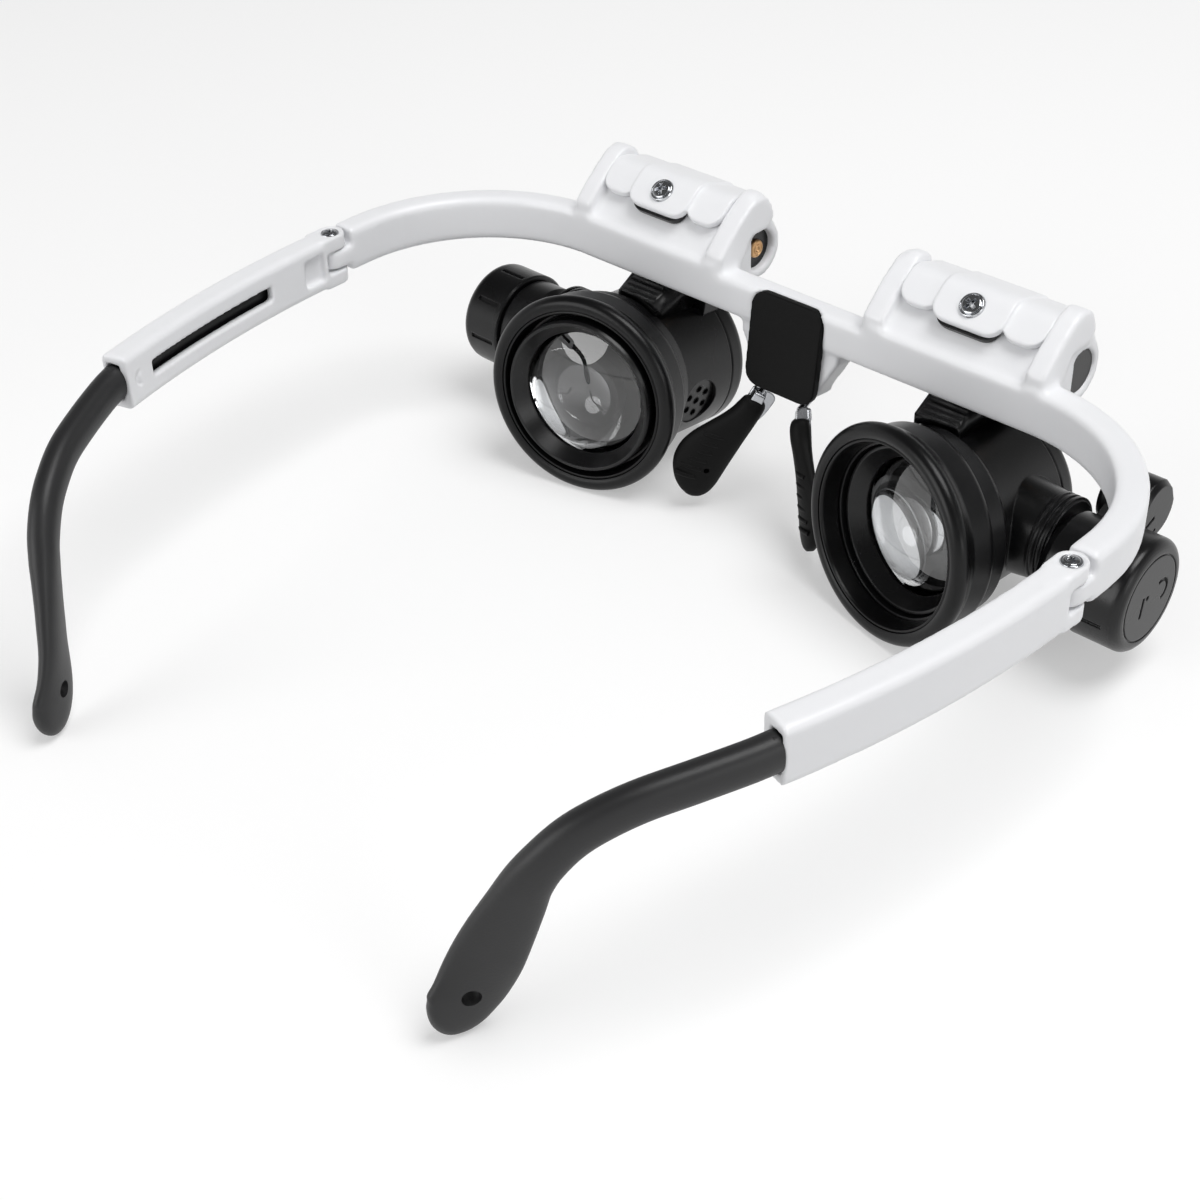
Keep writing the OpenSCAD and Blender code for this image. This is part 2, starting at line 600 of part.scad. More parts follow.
module front_lens_part() {
  color([0.8, 0.87, 0.9, 0.35]) barrel_axis() translate([0, 0, -barrel_len + 4.05]) lens_body(front_lens_r, 1.9, 1.2);
}

module eyecup_part() {
  color([0.04, 0.04, 0.045]) eyepiece() rotate_extrude($fn = 128) {
    polygon([
      [neck_r + part_gap, -8], [rim_r - 1.6, -8.4], [rim_r - 1.2, -7.8], [rim_r - 1.25, -3.9], [rim_r - 0.7, -3.5],
      [rim_r - 0.7, -1.4], [rim_r - 2.9, -0.35], [cell_r + 0.9, -1.5], [cell_r + 0.35, -3.6], [neck_r + part_gap, -3.75]]);
    translate([rim_r - 1.45, -1.75]) circle(r = 1.45, $fn = 40);
    translate([rim_r - 2.6, -1.3]) circle(r = 0.95, $fn = 32);
  }
}

module cell_part(back) {
  color([0.07, 0.07, 0.075]) eyepiece() translate([0, 0, back]) rotate_extrude($fn = 128) polygon([
    [cell_r, -cell_len], [cell_r, -0.5], [cell_r - 0.35, 0], [cell_r - 0.75, 0],
    [eye_lens_r - 0.5, -2.2], [eye_lens_r - 0.5, -2.5], [eye_lens_r + lens_fit, -2.5],
    [eye_lens_r + lens_fit, -4.6], [cell_r - 0.9, -5], [cell_r - 0.9, -cell_len]]);
}

module eye_lens_part(back) {
  color([0.8, 0.87, 0.9, 0.35]) eyepiece() translate([0, 0, back - 3.55]) difference() {
    lens_body(eye_lens_r, 1.9, 1.45);
    translate([0, 0, 0.99]) difference() {
      cylinder(r = eye_lens_r + 1, h = 0.3, $fn = 96);
      translate([0, 0, -1]) cylinder(r = eye_lens_r - 0.6, h = 3, $fn = 96);
    }
  }
}

// Frame of a lamp: turns about the swivel axis, X outwards and -Y to the head
module lamp(a) {
  translate([0, lamp_y, lamp_z]) rotate([-a, 0, 0]) children();
}

module lamp_body_part(a) {
  color([0.07, 0.07, 0.075]) lamp(a) difference() {
    union() {
      turned_x(base_in, 0, 0) cylinder(r1 = 6.9, r2 = 8.1, h = 1.4, $fn = 72);
      turned_x(base_in + 1.4, 0, 0) cylinder(r = 8.1, h = cap_in - base_in - 1.75, $fn = 72);
      turned_x(base_in - 2.9, 0, 0) cylinder(r = 2, h = 3.2, $fn = 40);
      turned_x(cap_in - 0.6, 0, 0) cylinder(r = 7, h = 4.6, $fn = 72);
      translate([base_in + 1.4, -head_reach, -2.6]) cube([cap_in - base_in - 1.75, head_reach - 5, 5.2]);
      turned_x(head_x - 3.9, -head_reach, 0) cylinder(r1 = head_r - 0.6, r2 = head_r, h = 0.8, $fn = 64);
      turned_x(head_x - 3.1, -head_reach, 0) cylinder(r = head_r, h = 6.4, $fn = 64);
      turned_x(head_x + 3.3, -head_reach, 0) cylinder(r1 = head_r, r2 = head_r - 0.7, h = 0.8, $fn = 64);
    }
    // Room for the cells, open to the cap
    turned_x(cap_in - 2.2, 0, 0) cylinder(r = cell_button_r + 0.1, h = 12, $fn = 64);
    // Flat front with the bore for the lamp
    translate([head_x - 10, -head_reach - 12.9, -10]) cube([20, 9, 20]);
    translate([head_x, -head_reach - 0.4, 0]) rotate([90, 0, 0]) cylinder(r = 3, h = 9, $fn = 48);
    // Slot and dot on the outer end of the head
    translate([head_x + 3.6, -head_reach + 1.2, -0.35]) cube([2, 2.4, 0.7]);
    turned_x(head_x + 3.7, -head_reach + 1.6, -2.6) cylinder(r = 0.3, h = 2, $fn = 20);
  }
}

module battery_cap_part(a) {
  color([0.08, 0.08, 0.085]) lamp(a) difference() {
    union() {
      turned_x(cap_in, 0, 0) rotate_extrude($fn = 96) polygon(concat(
        [[7 + run_fit, 0], [cap_r - 0.3, 0], [cap_r, 0.3], [cap_r, cap_w - 1.6]],
        [for (i = [1:6]) [cap_r - 1.6 + 1.6 * cos(i * 15), cap_w - 1.6 + 1.6 * sin(i * 15)]],
        [[0, cap_w], [0, cap_w - 2], [7 + run_fit, cap_w - 2]]));
    }
    // Ring groove round the end disc and a plain lock mark
    turned_x(cap_out - 0.25, 0, 0) difference() {
      cylinder(r = 6.95, h = 2, $fn = 72);
      translate([0, 0, -1]) cylinder(r = 6.65, h = 4, $fn = 72);
    }
    for (k = [0:7]) {
      turned_x(cap_in + 0.9, 0, 0) rotate([0, 0, k * 45 + 12]) translate([cap_r - 0.35, -0.4, 0]) cube([2, 0.8, cap_w - 3.4]);
    }
    translate([cap_out - 0.3, 2.2, 0.2]) rotate([30, 0, 0]) translate([0, -0.3, -1.7]) cube([1, 0.6, 3.4]);
    turned_x(cap_out - 0.3, 0.6, 0.8) cylinder(r = 0.4, h = 1, $fn = 24);
    turned_x(cap_out - 0.3, -2.6, -1) difference() {
      cylinder(r = 2, h = 1, $fn = 40);
      translate([0, 0, -1]) cylinder(r = 1.4, h = 3, $fn = 40);
      translate([-3, 0.2, -1]) cube([6, 6, 3]);
    }
  }
}

module button_cells_part(a) {
  color([0.75, 0.75, 0.76]) lamp(a) {
    for (k = [0:1]) {
      turned_x(cap_in - 1.35 + k * 3.15, 0, 0) cylinder(r = cell_button_r, h = 2.6, $fn = 64);
      turned_x(cap_in + 1.2 + k * 3.15, 0, 0) cylinder(r = cell_button_r - 1, h = 0.45, $fn = 64);
    }
  }
}

module contact_disc_part(a) {
  color([0.8, 0.68, 0.35]) lamp(a) turned_x(cap_in - 2.15, 0, 0) {
    cylinder(r = cell_button_r - 0.4, h = 0.3, $fn = 48);
    cylinder(r1 = 2.6, r2 = 1.2, h = 0.72, $fn = 40);
  }
}

module led_board_part(a) {
  color([0.1, 0.35, 0.2]) lamp(a) translate([head_x, -head_reach - 0.45, 0]) rotate([90, 0, 0]) cylinder(r = 2.9, h = 0.7, $fn = 40);
}

module led_part(a) {
  color([0.95, 0.93, 0.75]) lamp(a) translate([head_x, -head_reach - 1.16, 0]) rotate([90, 0, 0]) {
    cylinder(r = 1.1, h = 0.5, $fn = 32);
    translate([0, 0, 0.45]) cylinder(r1 = 0.85, r2 = 0.5, h = 0.45, $fn = 32);
  }
}

module lamp_lens_part(a) {
  color([0.85, 0.9, 0.95, 0.35]) lamp(a) translate([head_x, -head_reach - 2.9, 0]) rotate([90, 0, 0]) {
    cylinder(r = 2.97, h = 0.8, $fn = 48);
    translate([0, 0, 0.4]) scale([1, 1, 0.36]) sphere(r = 2.7, $fn = 48);
  }
}

front_frame();
brow_pad();
nose_wire();
side(1) plate_part();  // left_nose_plate
side(-1) plate_part();  // right_nose_plate
side(1) pad_part();  // left_nose_pad
side(-1) pad_part();  // right_nose_pad
side(1) sleeve_part();  // left_temple_sleeve
side(-1) sleeve_part();  // right_temple_sleeve
side(1) arm_part();  // left_temple_arm
side(-1) arm_part();  // right_temple_arm
side(1) hinge_screw_part();  // left_hinge_screw
side(-1) hinge_screw_part();  // right_hinge_screw
side(1) rod_part();  // left_rod
side(-1) rod_part();  // right_rod
side(1) bushes_part();  // left_rod_bushes
side(-1) bushes_part();  // right_rod_bushes
side(1) carriage_part();  // left_carriage
side(-1) carriage_part();  // right_carriage
side(1) cap_part();  // left_tilt_cap
side(-1) cap_part();  // right_tilt_cap
side(1) cap_screw_part();  // left_cap_screw
side(-1) cap_screw_part();  // right_cap_screw
side(1) barrel_part();  // left_barrel
side(-1) barrel_part();  // right_barrel
side(1) front_ring_part();  // left_front_ring
side(-1) front_ring_part();  // right_front_ring
side(1) front_lens_part();  // left_front_lens
side(-1) front_lens_part();  // right_front_lens
side(1) vent_part();  // left_vent
side(-1) vent_part();  // right_vent
side(1) eyecup_part();  // left_eyecup
side(-1) eyecup_part();  // right_eyecup
side(1) cell_part(0);  // left_lens_cell
side(-1) cell_part(-cell_travel);  // right_lens_cell
side(1) eye_lens_part(0);  // left_eye_lens
side(-1) eye_lens_part(-cell_travel);  // right_eye_lens
side(1) lamp_body_part(left_lamp_deg);  // left_lamp_body
side(-1) lamp_body_part(right_lamp_deg);  // right_lamp_body
side(1) battery_cap_part(left_lamp_deg);  // left_battery_cap
side(-1) battery_cap_part(right_lamp_deg);  // right_battery_cap
side(1) button_cells_part(left_lamp_deg);  // left_button_cells
side(-1) button_cells_part(right_lamp_deg);  // right_button_cells
side(1) contact_disc_part(left_lamp_deg);  // left_contact_disc
side(-1) contact_disc_part(right_lamp_deg);  // right_contact_disc
side(1) led_board_part(left_lamp_deg);  // left_led_board
side(-1) led_board_part(right_lamp_deg);  // right_led_board
side(1) led_part(left_lamp_deg);  // left_led
side(-1) led_part(right_lamp_deg);  // right_led
side(1) lamp_lens_part(left_lamp_deg);  // left_lamp_lens
side(-1) lamp_lens_part(right_lamp_deg);  // right_lamp_lens
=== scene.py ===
# %% [markdown]
# # Lighted loupe eyewear
# The object is a white frame like that of spectacles. It carries two tilting loupes with
# rubber eyecups, a lamp beside each loupe, a brow pad, two nose pads and two temples whose
# black arms slide to length. The hard parts come from the CAD model. This file gives them
# their finish, and makes again the parts whose soft or rounded form CAD solids only sketch.

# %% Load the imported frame
import json
import math
import bmesh
import bpy
from mathutils import Matrix, Vector


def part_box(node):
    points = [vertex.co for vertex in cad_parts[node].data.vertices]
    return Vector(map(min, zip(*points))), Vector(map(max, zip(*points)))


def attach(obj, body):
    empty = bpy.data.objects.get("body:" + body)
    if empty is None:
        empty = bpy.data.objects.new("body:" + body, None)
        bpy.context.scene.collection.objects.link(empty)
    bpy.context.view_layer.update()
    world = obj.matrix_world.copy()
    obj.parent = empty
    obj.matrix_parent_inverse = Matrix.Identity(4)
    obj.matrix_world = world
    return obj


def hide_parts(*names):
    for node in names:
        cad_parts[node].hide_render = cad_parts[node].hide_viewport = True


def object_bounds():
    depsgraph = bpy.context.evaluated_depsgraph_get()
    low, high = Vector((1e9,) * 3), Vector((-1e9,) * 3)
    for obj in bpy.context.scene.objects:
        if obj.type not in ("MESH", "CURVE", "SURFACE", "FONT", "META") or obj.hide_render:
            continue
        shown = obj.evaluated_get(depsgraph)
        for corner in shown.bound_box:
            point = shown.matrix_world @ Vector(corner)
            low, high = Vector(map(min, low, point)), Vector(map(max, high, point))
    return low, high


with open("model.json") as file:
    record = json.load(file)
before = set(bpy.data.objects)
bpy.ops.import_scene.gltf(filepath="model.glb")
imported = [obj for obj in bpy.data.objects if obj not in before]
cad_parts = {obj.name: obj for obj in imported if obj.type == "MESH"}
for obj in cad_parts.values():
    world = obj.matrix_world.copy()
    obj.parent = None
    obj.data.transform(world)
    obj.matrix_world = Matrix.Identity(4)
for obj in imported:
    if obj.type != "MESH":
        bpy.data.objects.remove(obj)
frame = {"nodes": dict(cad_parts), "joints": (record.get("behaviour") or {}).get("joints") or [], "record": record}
cad_low, cad_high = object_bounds()
print("CAD box in millimetres:", [round(1000 * (b - a), 1) for a, b in zip(cad_low, cad_high)])

# %% [markdown]
# ## The drawing's frame
# The CAD source is drawn in millimetres for the left side, and the right side is its mirror
# image. The same is done here: a piece is drawn once in those millimetres, and one matrix
# takes it to its side and to metres. Where the drawing's middle lies is read from the
# joints, so the two stay together.

# %% Sizes shared with the CAD drawing
MM = 0.001
ROD_AT = Vector((30.0, 5.2, 38.6))
JOINT_AT = {j["name"]: Vector(j.get("pos_m", (0, 0, 0))) / MM for j in frame["joints"]}
MIDDLE_Y = ROD_AT.y - JOINT_AT["left_loupe_tilt"].y
SIDES = {"left": 1, "right": -1}
CUP_AT = Vector((30.65, 32.6, 17.1475))
BARREL_AT = Vector((32.5748, 24.8802, 16.3112))
CANT_YAW, CANT_PITCH = math.radians(14), math.radians(6)
BARREL_R, BARREL_LENGTH = 13.2, 22.2
CELL_TRAVEL = 4.6
SQUARE = ((-1, -1), (1, -1), (1, 1), (-1, 1))  # corners round the middle, in order
print("middle of the drawing at y =", round(MIDDLE_Y, 3))


# %% Helpers for places, objects and nodes
def to_row(side):
    """From the drawing in millimetres to the row frame in metres."""
    flip = Matrix.Scale(SIDES[side], 4, (1, 0, 0))
    return Matrix.Scale(MM, 4) @ Matrix.Translation((0, -MIDDLE_Y, 0)) @ flip


def turned(axis, degrees):
    return Matrix.Rotation(math.radians(degrees), 4, axis)


def new_object(name, data):
    """An object with the given mesh, lamp or camera, linked to the scene."""
    made = bpy.data.objects.new(name, data)
    bpy.context.scene.collection.objects.link(made)
    return made


def add_node(tree, kind, **values):
    """A node whose settings and inputs are given by name, with _ for a space."""
    node = tree.nodes.new(kind)
    for label, value in values.items():
        if hasattr(node, label):
            setattr(node, label, value)
        else:
            node.inputs[label.replace("_", " ")].default_value = value
    return node


EYEPIECE = (Matrix.Translation(CUP_AT) @ Matrix.Rotation(CANT_YAW, 4, "Z")
            @ Matrix.Rotation(CANT_PITCH, 4, "X") @ turned("X", -90))
BARREL = Matrix.Translation(BARREL_AT) @ Matrix.Rotation(CANT_PITCH, 4, "X") @ turned("X", -90)

# %% [markdown]
# ## The camera
# The photograph looks down from behind the wearer's right shoulder. The camera was solved
# from pairs of mirrored points, which gives its direction, its roll and its lens.

# %% Camera
PHOTO_WIDTH, FOCAL_PIXELS = 1200, 1998.14
CAMERA_TURN, CAMERA_HEIGHT, CAMERA_ROLL = 224.24, 36.17, -1.59
CAMERA_TARGET, CAMERA_DISTANCE = Vector((0, 60 - MIDDLE_Y, 5.95)), 301.71


def add_camera():
    turn, height = math.radians(CAMERA_TURN), math.radians(CAMERA_HEIGHT)
    back = Vector((math.sin(turn) * math.cos(height), -math.cos(turn) * math.cos(height), math.sin(height)))
    lens = bpy.data.cameras.new("camera")
    lens.sensor_width = 36
    lens.lens = FOCAL_PIXELS / PHOTO_WIDTH * lens.sensor_width
    lens.clip_start, lens.clip_end = 0.01, 20
    camera = new_object("camera", lens)
    level = (-back).to_track_quat("-Z", "Y").to_matrix().to_4x4()
    place = Matrix.Translation((CAMERA_TARGET + back * CAMERA_DISTANCE) * MM)
    camera.matrix_world = place @ level @ turned("Z", CAMERA_ROLL)
    bpy.context.scene.camera = camera
    return camera


camera = add_camera()
print("camera at", [round(c, 3) for c in camera.location], "lens", round(camera.data.lens, 1))

# %% [markdown]
# ## Light, floor and background
# The photograph is a bright product picture on white, with soft shadows under the object.
# Large area lamps give the soft highlights. The white of the floor and of the world is
# added only for what the camera sees directly, in a reflection or through glass, so it
# throws no more light on the object.

# %% Lamps
LAMPS = [
    # name, place in metres, size, watts
    ("key", (-0.3, -0.1, 0.9), 0.6, 5.9),
    ("rear_fill", (0.3, 0.85, 0.35), 0.7, 3.3),
    ("nose_side", (-0.8, 0.1, 0.3), 0.4, 1.0),
]
LAMP_AIM = Vector((0, 0, 0.02))


def add_lamps():
    for name, place, size, watts in LAMPS:
        data = bpy.data.lights.new(name, "AREA")
        data.shape, data.size, data.energy = "DISK", size, watts
        lamp = new_object(name, data)
        aim = LAMP_AIM - Vector(place)
        lamp.matrix_world = Matrix.Translation(place) @ aim.to_track_quat("-Z", "Y").to_matrix().to_4x4()


add_lamps()
print("lamps:", [row[0] for row in LAMPS])


# %% World and floor
def empty_tree(owner):
    """The node tree of a material or world, without the nodes that it comes with."""
    owner.use_nodes = True
    owner.node_tree.nodes.clear()
    return owner.node_tree


def seen_by_eye(tree):
    """1 for rays that end in the picture: straight, mirrored, or through glass."""
    path = add_node(tree, "ShaderNodeLightPath")
    total = path.outputs["Is Camera Ray"]
    for output in ("Is Glossy Ray", "Is Transmission Ray"):
        step = add_node(tree, "ShaderNodeMath", operation="MAXIMUM")
        tree.links.new(total, step.inputs[0])
        tree.links.new(path.outputs[output], step.inputs[1])
        total = step.outputs[0]
    return total


def add_world(light=0.32, shown=0.98, overhead=0.1):
    """White for the eye and through glass. A mirrored ray sees it darken towards the zenith."""
    world = bpy.data.worlds.new("studio")
    tree = empty_tree(world)
    link = tree.links.new
    out = add_node(tree, "ShaderNodeOutputWorld")
    mix = add_node(tree, "ShaderNodeMixShader")
    for slot, level in ((1, light), (2, shown)):
        background = add_node(tree, "ShaderNodeBackground", Color=(1, 1, 1, 1), Strength=level)
        link(background.outputs[0], mix.inputs[slot])
    where = add_node(tree, "ShaderNodeTexCoord")
    parts = add_node(tree, "ShaderNodeSeparateXYZ")
    fade = add_node(tree, "ShaderNodeMapRange", From_Min=0.05, From_Max=0.6, To_Min=shown, To_Max=overhead)
    path = add_node(tree, "ShaderNodeLightPath")
    choice = add_node(tree, "ShaderNodeMix", A=shown)
    link(where.outputs["Generated"], parts.inputs[0])
    link(parts.outputs["Z"], fade.inputs["Value"])
    link(path.outputs["Is Glossy Ray"], choice.inputs["Factor"])
    link(fade.outputs[0], choice.inputs["B"])
    link(choice.outputs["Result"], background.inputs["Strength"])
    link(seen_by_eye(tree), mix.inputs[0])
    link(mix.outputs[0], out.inputs["Surface"])
    bpy.context.scene.world = world


def add_floor(reach=3.0, gap=0.00005, tone=0.62, glow=0.36):
    """A pale floor just under the object, which glows a little for the eye."""
    mesh = bpy.data.meshes.new("studio_floor")
    mesh.from_pydata([(x * reach, y * reach, 0) for x, y in SQUARE], [], [(0, 1, 2, 3)])
    floor = new_object("studio_floor", mesh)
    floor.location.z = cad_low.z - gap
    paint = bpy.data.materials.new("studio_floor_white")
    tree = empty_tree(paint)
    link = tree.links.new
    out = add_node(tree, "ShaderNodeOutputMaterial")
    cloth = add_node(tree, "ShaderNodeBsdfDiffuse", Color=(tone, tone, tone, 1))
    shine = add_node(tree, "ShaderNodeEmission")
    level = add_node(tree, "ShaderNodeMath", operation="MULTIPLY")
    level.inputs[1].default_value = glow
    both = add_node(tree, "ShaderNodeAddShader")
    link(seen_by_eye(tree), level.inputs[0])
    link(level.outputs[0], shine.inputs["Strength"])
    link(cloth.outputs[0], both.inputs[0])
    link(shine.outputs[0], both.inputs[1])
    link(both.outputs[0], out.inputs["Surface"])
    floor.data.materials.append(paint)


add_world()
add_floor()
bpy.context.scene.view_settings.view_transform = "Standard"
print("world and floor made")

# %% [markdown]
# ## Effects shared by the finishes
# The finishes draw on two effects. The first is a fine grain, left by the mould or by
# brushing, with a slow change of tone across a part. The second rounds the shading of edges
# that the drawing leaves sharp, as a real mould does, and the soft finishes do without it.
# Each is a node group, built once, that puts out only values and normals.


# %% Node group: fine grain and slow tone
def start_group(name, kind, inputs, outputs):
    """A node group with its sockets, and the two nodes that its values enter and leave by."""
    tree = bpy.data.node_groups.new(name, kind)
    for label, sort, value in inputs:
        socket = tree.interface.new_socket(label, in_out="INPUT", socket_type="NodeSocket" + sort)
        if value is not None:
            socket.default_value = value
    for label, sort in outputs:
        tree.interface.new_socket(label, in_out="OUTPUT", socket_type="NodeSocket" + sort)
    return tree, add_node(tree, "NodeGroupInput"), add_node(tree, "NodeGroupOutput")


def build_grain_group():
    tree, enter, leave = start_group("mould_grain", "ShaderNodeTree", [
        ("Grain Scale", "Float", 2500.0), ("Tone Scale", "Float", 60.0), ("Stretch", "Float", 1.0)],
        [("Grain", "Float"), ("Tone", "Float")])
    link = tree.links.new
    where = add_node(tree, "ShaderNodeTexCoord")
    stretch = add_node(tree, "ShaderNodeCombineXYZ", Y=1.0, Z=1.0)
    scaled = add_node(tree, "ShaderNodeVectorMath", operation="MULTIPLY")
    link(enter.outputs["Stretch"], stretch.inputs["X"])
    link(where.outputs["Object"], scaled.inputs[0])
    link(stretch.outputs[0], scaled.inputs[1])
    for label, output, detail in (("Grain Scale", "Grain", 2.0), ("Tone Scale", "Tone", 3.0)):
        noise = add_node(tree, "ShaderNodeTexNoise", Detail=detail)
        link(scaled.outputs[0], noise.inputs["Vector"])
        link(enter.outputs[label], noise.inputs["Scale"])
        link(noise.outputs["Fac"], leave.inputs[output])
    return tree


# %% Node group: softened edges
def build_edge_group():
    tree, enter, leave = start_group("softened_edge", "ShaderNodeTree", [("Radius", "Float", 0.0004)],
                                     [("Normal", "Vector"), ("Edge", "Float")])
    link = tree.links.new
    bevel = add_node(tree, "ShaderNodeBevel", samples=4)
    shape = add_node(tree, "ShaderNodeNewGeometry")
    likeness = add_node(tree, "ShaderNodeVectorMath", operation="DOT_PRODUCT")
    mask = add_node(tree, "ShaderNodeMapRange", From_Min=1.0, From_Max=0.7)
    link(enter.outputs["Radius"], bevel.inputs["Radius"])
    link(bevel.outputs[0], likeness.inputs[0])
    link(shape.outputs["Normal"], likeness.inputs[1])
    link(likeness.outputs["Value"], mask.inputs["Value"])
    link(bevel.outputs[0], leave.inputs["Normal"])
    link(mask.outputs[0], leave.inputs["Edge"])
    return tree


GRAIN, EDGE = build_grain_group(), build_edge_group()
print("node groups:", GRAIN.name, EDGE.name)

# %% [markdown]
# ## The finishes
# Every finish is one Principled shader fed by the shared groups. The numbers are what sets
# them apart: the white shell is satin with a soft gloss, the black shell is about as smooth,
# the eyecup rubber has a low sheen, the arms and the silicone are duller, and the metals
# are bright.


# %% Finish builder
def start_finish(name, colour, other, grouped, fixed):
    """A material whose colour runs between two close ones with the slow tone."""
    paint = bpy.data.materials.new(name)
    paint.use_nodes = True
    tree = paint.node_tree
    shader = tree.nodes["Principled BSDF"]
    for label, value in fixed.items():
        shader.inputs[label.replace("_", " ")].default_value = value
    effect = add_node(tree, "ShaderNodeGroup", node_tree=GRAIN, **grouped)
    blend = add_node(tree, "ShaderNodeMix", data_type="RGBA", A=(*colour, 1), B=(*other, 1))
    tree.links.new(effect.outputs["Tone"], blend.inputs["Factor"])
    return paint, shader, effect, blend.outputs["Result"]


def make_finish(name, colour, other, rough, grain, bump=0.02, edge=0.0003, edge_colour=None, stretch=1.0, **fixed):
    """A finish from two close colours, a range of roughness, a grain scale, a bump depth and, if given, a colour
    along the edges.
    """
    grouped = {"Grain_Scale": grain, "Stretch": stretch}
    paint, shader, effect, shown = start_finish(name, colour, other, grouped, fixed)
    tree = paint.node_tree
    link = tree.links.new
    gloss = add_node(tree, "ShaderNodeMapRange", To_Min=rough[0], To_Max=rough[1])
    link(effect.outputs["Tone"], gloss.inputs["Value"])
    relief = add_node(tree, "ShaderNodeBump", Strength=bump, Distance=0.0002)
    link(effect.outputs["Grain"], relief.inputs["Height"])
    if edge:
        soft = add_node(tree, "ShaderNodeGroup", node_tree=EDGE, Radius=edge)
        link(soft.outputs["Normal"], relief.inputs["Normal"])
        # With an edge colour given, the surface takes that colour along the edges that the bevel rounds.
        if edge_colour:
            edge_mix = add_node(tree, "ShaderNodeMix", data_type="RGBA", B=(*edge_colour, 1))
            link(soft.outputs["Edge"], edge_mix.inputs["Factor"])
            link(shown, edge_mix.inputs["A"])
            shown = edge_mix.outputs["Result"]
    link(shown, shader.inputs["Base Color"])
    link(gloss.outputs[0], shader.inputs["Roughness"])
    link(relief.outputs[0], shader.inputs["Normal"])
    return paint


# %% The finishes themselves
FINISH = {
    "white_shell": make_finish("white_satin_shell", (0.84, 0.845, 0.86), (0.81, 0.815, 0.835),
                               (0.26, 0.34), 1800, bump=0.04, edge=0.0005),
    # The black shell is a little lighter along its edges.
    "black_shell": make_finish("black_satin_shell", (0.0035, 0.0035, 0.0038), (0.0055, 0.0055, 0.006),
                               (0.24, 0.32), 2600, bump=0.06, edge_colour=(0.02, 0.02, 0.021),
                               Specular_IOR_Level=0.36),
    "black_rubber": make_finish("black_eyecup_rubber", (0.003, 0.003, 0.0032), (0.0045, 0.0045, 0.005),
                                (0.27, 0.34), 3200, bump=0.06, edge=None, Specular_IOR_Level=0.26),
    "soft_pad": make_finish("black_soft_silicone", (0.004, 0.004, 0.004), (0.006, 0.006, 0.006),
                            (0.5, 0.6), 3600, bump=0.12, edge=None, Specular_IOR_Level=0.11),
    "chrome_steel": make_finish("bright_plated_steel", (0.62, 0.63, 0.65), (0.42, 0.43, 0.45),
                                (0.1, 0.2), 4000, bump=0.03, edge=0.00005, Metallic=1.0),
    "plate_steel": make_finish("sheet_steel", (0.58, 0.59, 0.61), (0.36, 0.37, 0.39), (0.14, 0.26),
                               3000, bump=0.05, edge=0.0001, stretch=0.15, Metallic=1.0),
    "brass_rod": make_finish("turned_brass", (0.62, 0.38, 0.19), (0.45, 0.26, 0.12), (0.24, 0.36),
                             2500, bump=0.05, edge=0.0001, Metallic=1.0),
    "cell_steel": make_finish("plated_cell_can", (0.66, 0.67, 0.68), (0.56, 0.57, 0.58), (0.2, 0.3),
                              2500, bump=0.04, edge=0.0002, Metallic=1.0),
    "contact_brass": make_finish("plated_contact", (0.80, 0.64, 0.34), (0.72, 0.55, 0.28), (0.2, 0.3),
                                 2500, bump=0.04, edge=0.0001, Metallic=1.0),
    "board_green": make_finish("lamp_board", (0.05, 0.2, 0.1), (0.04, 0.16, 0.08), (0.35, 0.5),
                               2500, bump=0.05, edge=None),
    "led_yellow": make_finish("lamp_chip_resin", (0.85, 0.78, 0.42), (0.8, 0.7, 0.35), (0.2, 0.3),
                              2500, edge=None),
}
ARM_FINISH = make_finish("black_arm_rubber", (0.010, 0.010, 0.0107), (0.014, 0.014, 0.0148),
                         (0.42, 0.5), 3000, bump=0.08, edge=None, Specular_IOR_Level=0.45)


def make_glass(name, tint, bend=1.9):
    """Clear lens glass. Its tint changes by a trace across the lens, and its polish is even."""
    other = [0.985 * part for part in tint]
    fixed = {"Transmission_Weight": 1.0, "IOR": bend, "Roughness": 0.0}
    paint, shader, _, shown = start_finish(name, tint, other, {"Tone_Scale": 40}, fixed)
    paint.node_tree.links.new(shown, shader.inputs["Base Color"])
    return paint


FINISH["clear_lens"] = make_glass("clear_lens_glass", (0.84, 0.85, 0.86))
SLOT_OF = {row["node"]: row["material_slot"] for row in frame["record"]["subparts"]}
for node_name, node_object in frame["nodes"].items():
    node_object.data.materials.clear()
    node_object.data.materials.append(FINISH[SLOT_OF[node_name]])
print("finishes:", sorted(FINISH))

# %% [markdown]
# ## Making pieces
# A turned part is a profile swept round an axis, and a bent part is a row of rings joined
# into a skin. Both are plain lists of points until the last step, which places them on
# their side, closes their seams and turns their faces outwards.


# %% Helpers for meshes
def finish_mesh(mesh, sharp):
    """Closes seams, turns faces outwards and shades smoothly up to a sharp angle in degrees."""
    work = bmesh.new()
    work.from_mesh(mesh)
    bmesh.ops.remove_doubles(work, verts=work.verts, dist=1e-7)
    bmesh.ops.recalc_face_normals(work, faces=work.faces)
    work.to_mesh(mesh)
    work.free()
    mesh.shade_smooth()
    mesh.set_sharp_from_angle(angle=math.radians(sharp))


def add_piece(name, mesh, body, slot, stands_for=(), sharp=40, finish=None):
    finish_mesh(mesh, sharp)
    mesh.materials.clear()
    mesh.materials.append(finish or FINISH[slot])
    piece = new_object(name, mesh)
    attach(piece, body)
    if stands_for:
        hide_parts(*stands_for)
    return piece


def new_mesh(name, shape):
    points, faces = shape
    mesh = bpy.data.meshes.new(name)
    mesh.from_pydata([tuple(p) for p in points], [], faces)
    return mesh


def mesh_from(name, shape, place, side):
    mesh = new_mesh(name, shape)
    mesh.transform(to_row(side) @ place)
    return mesh


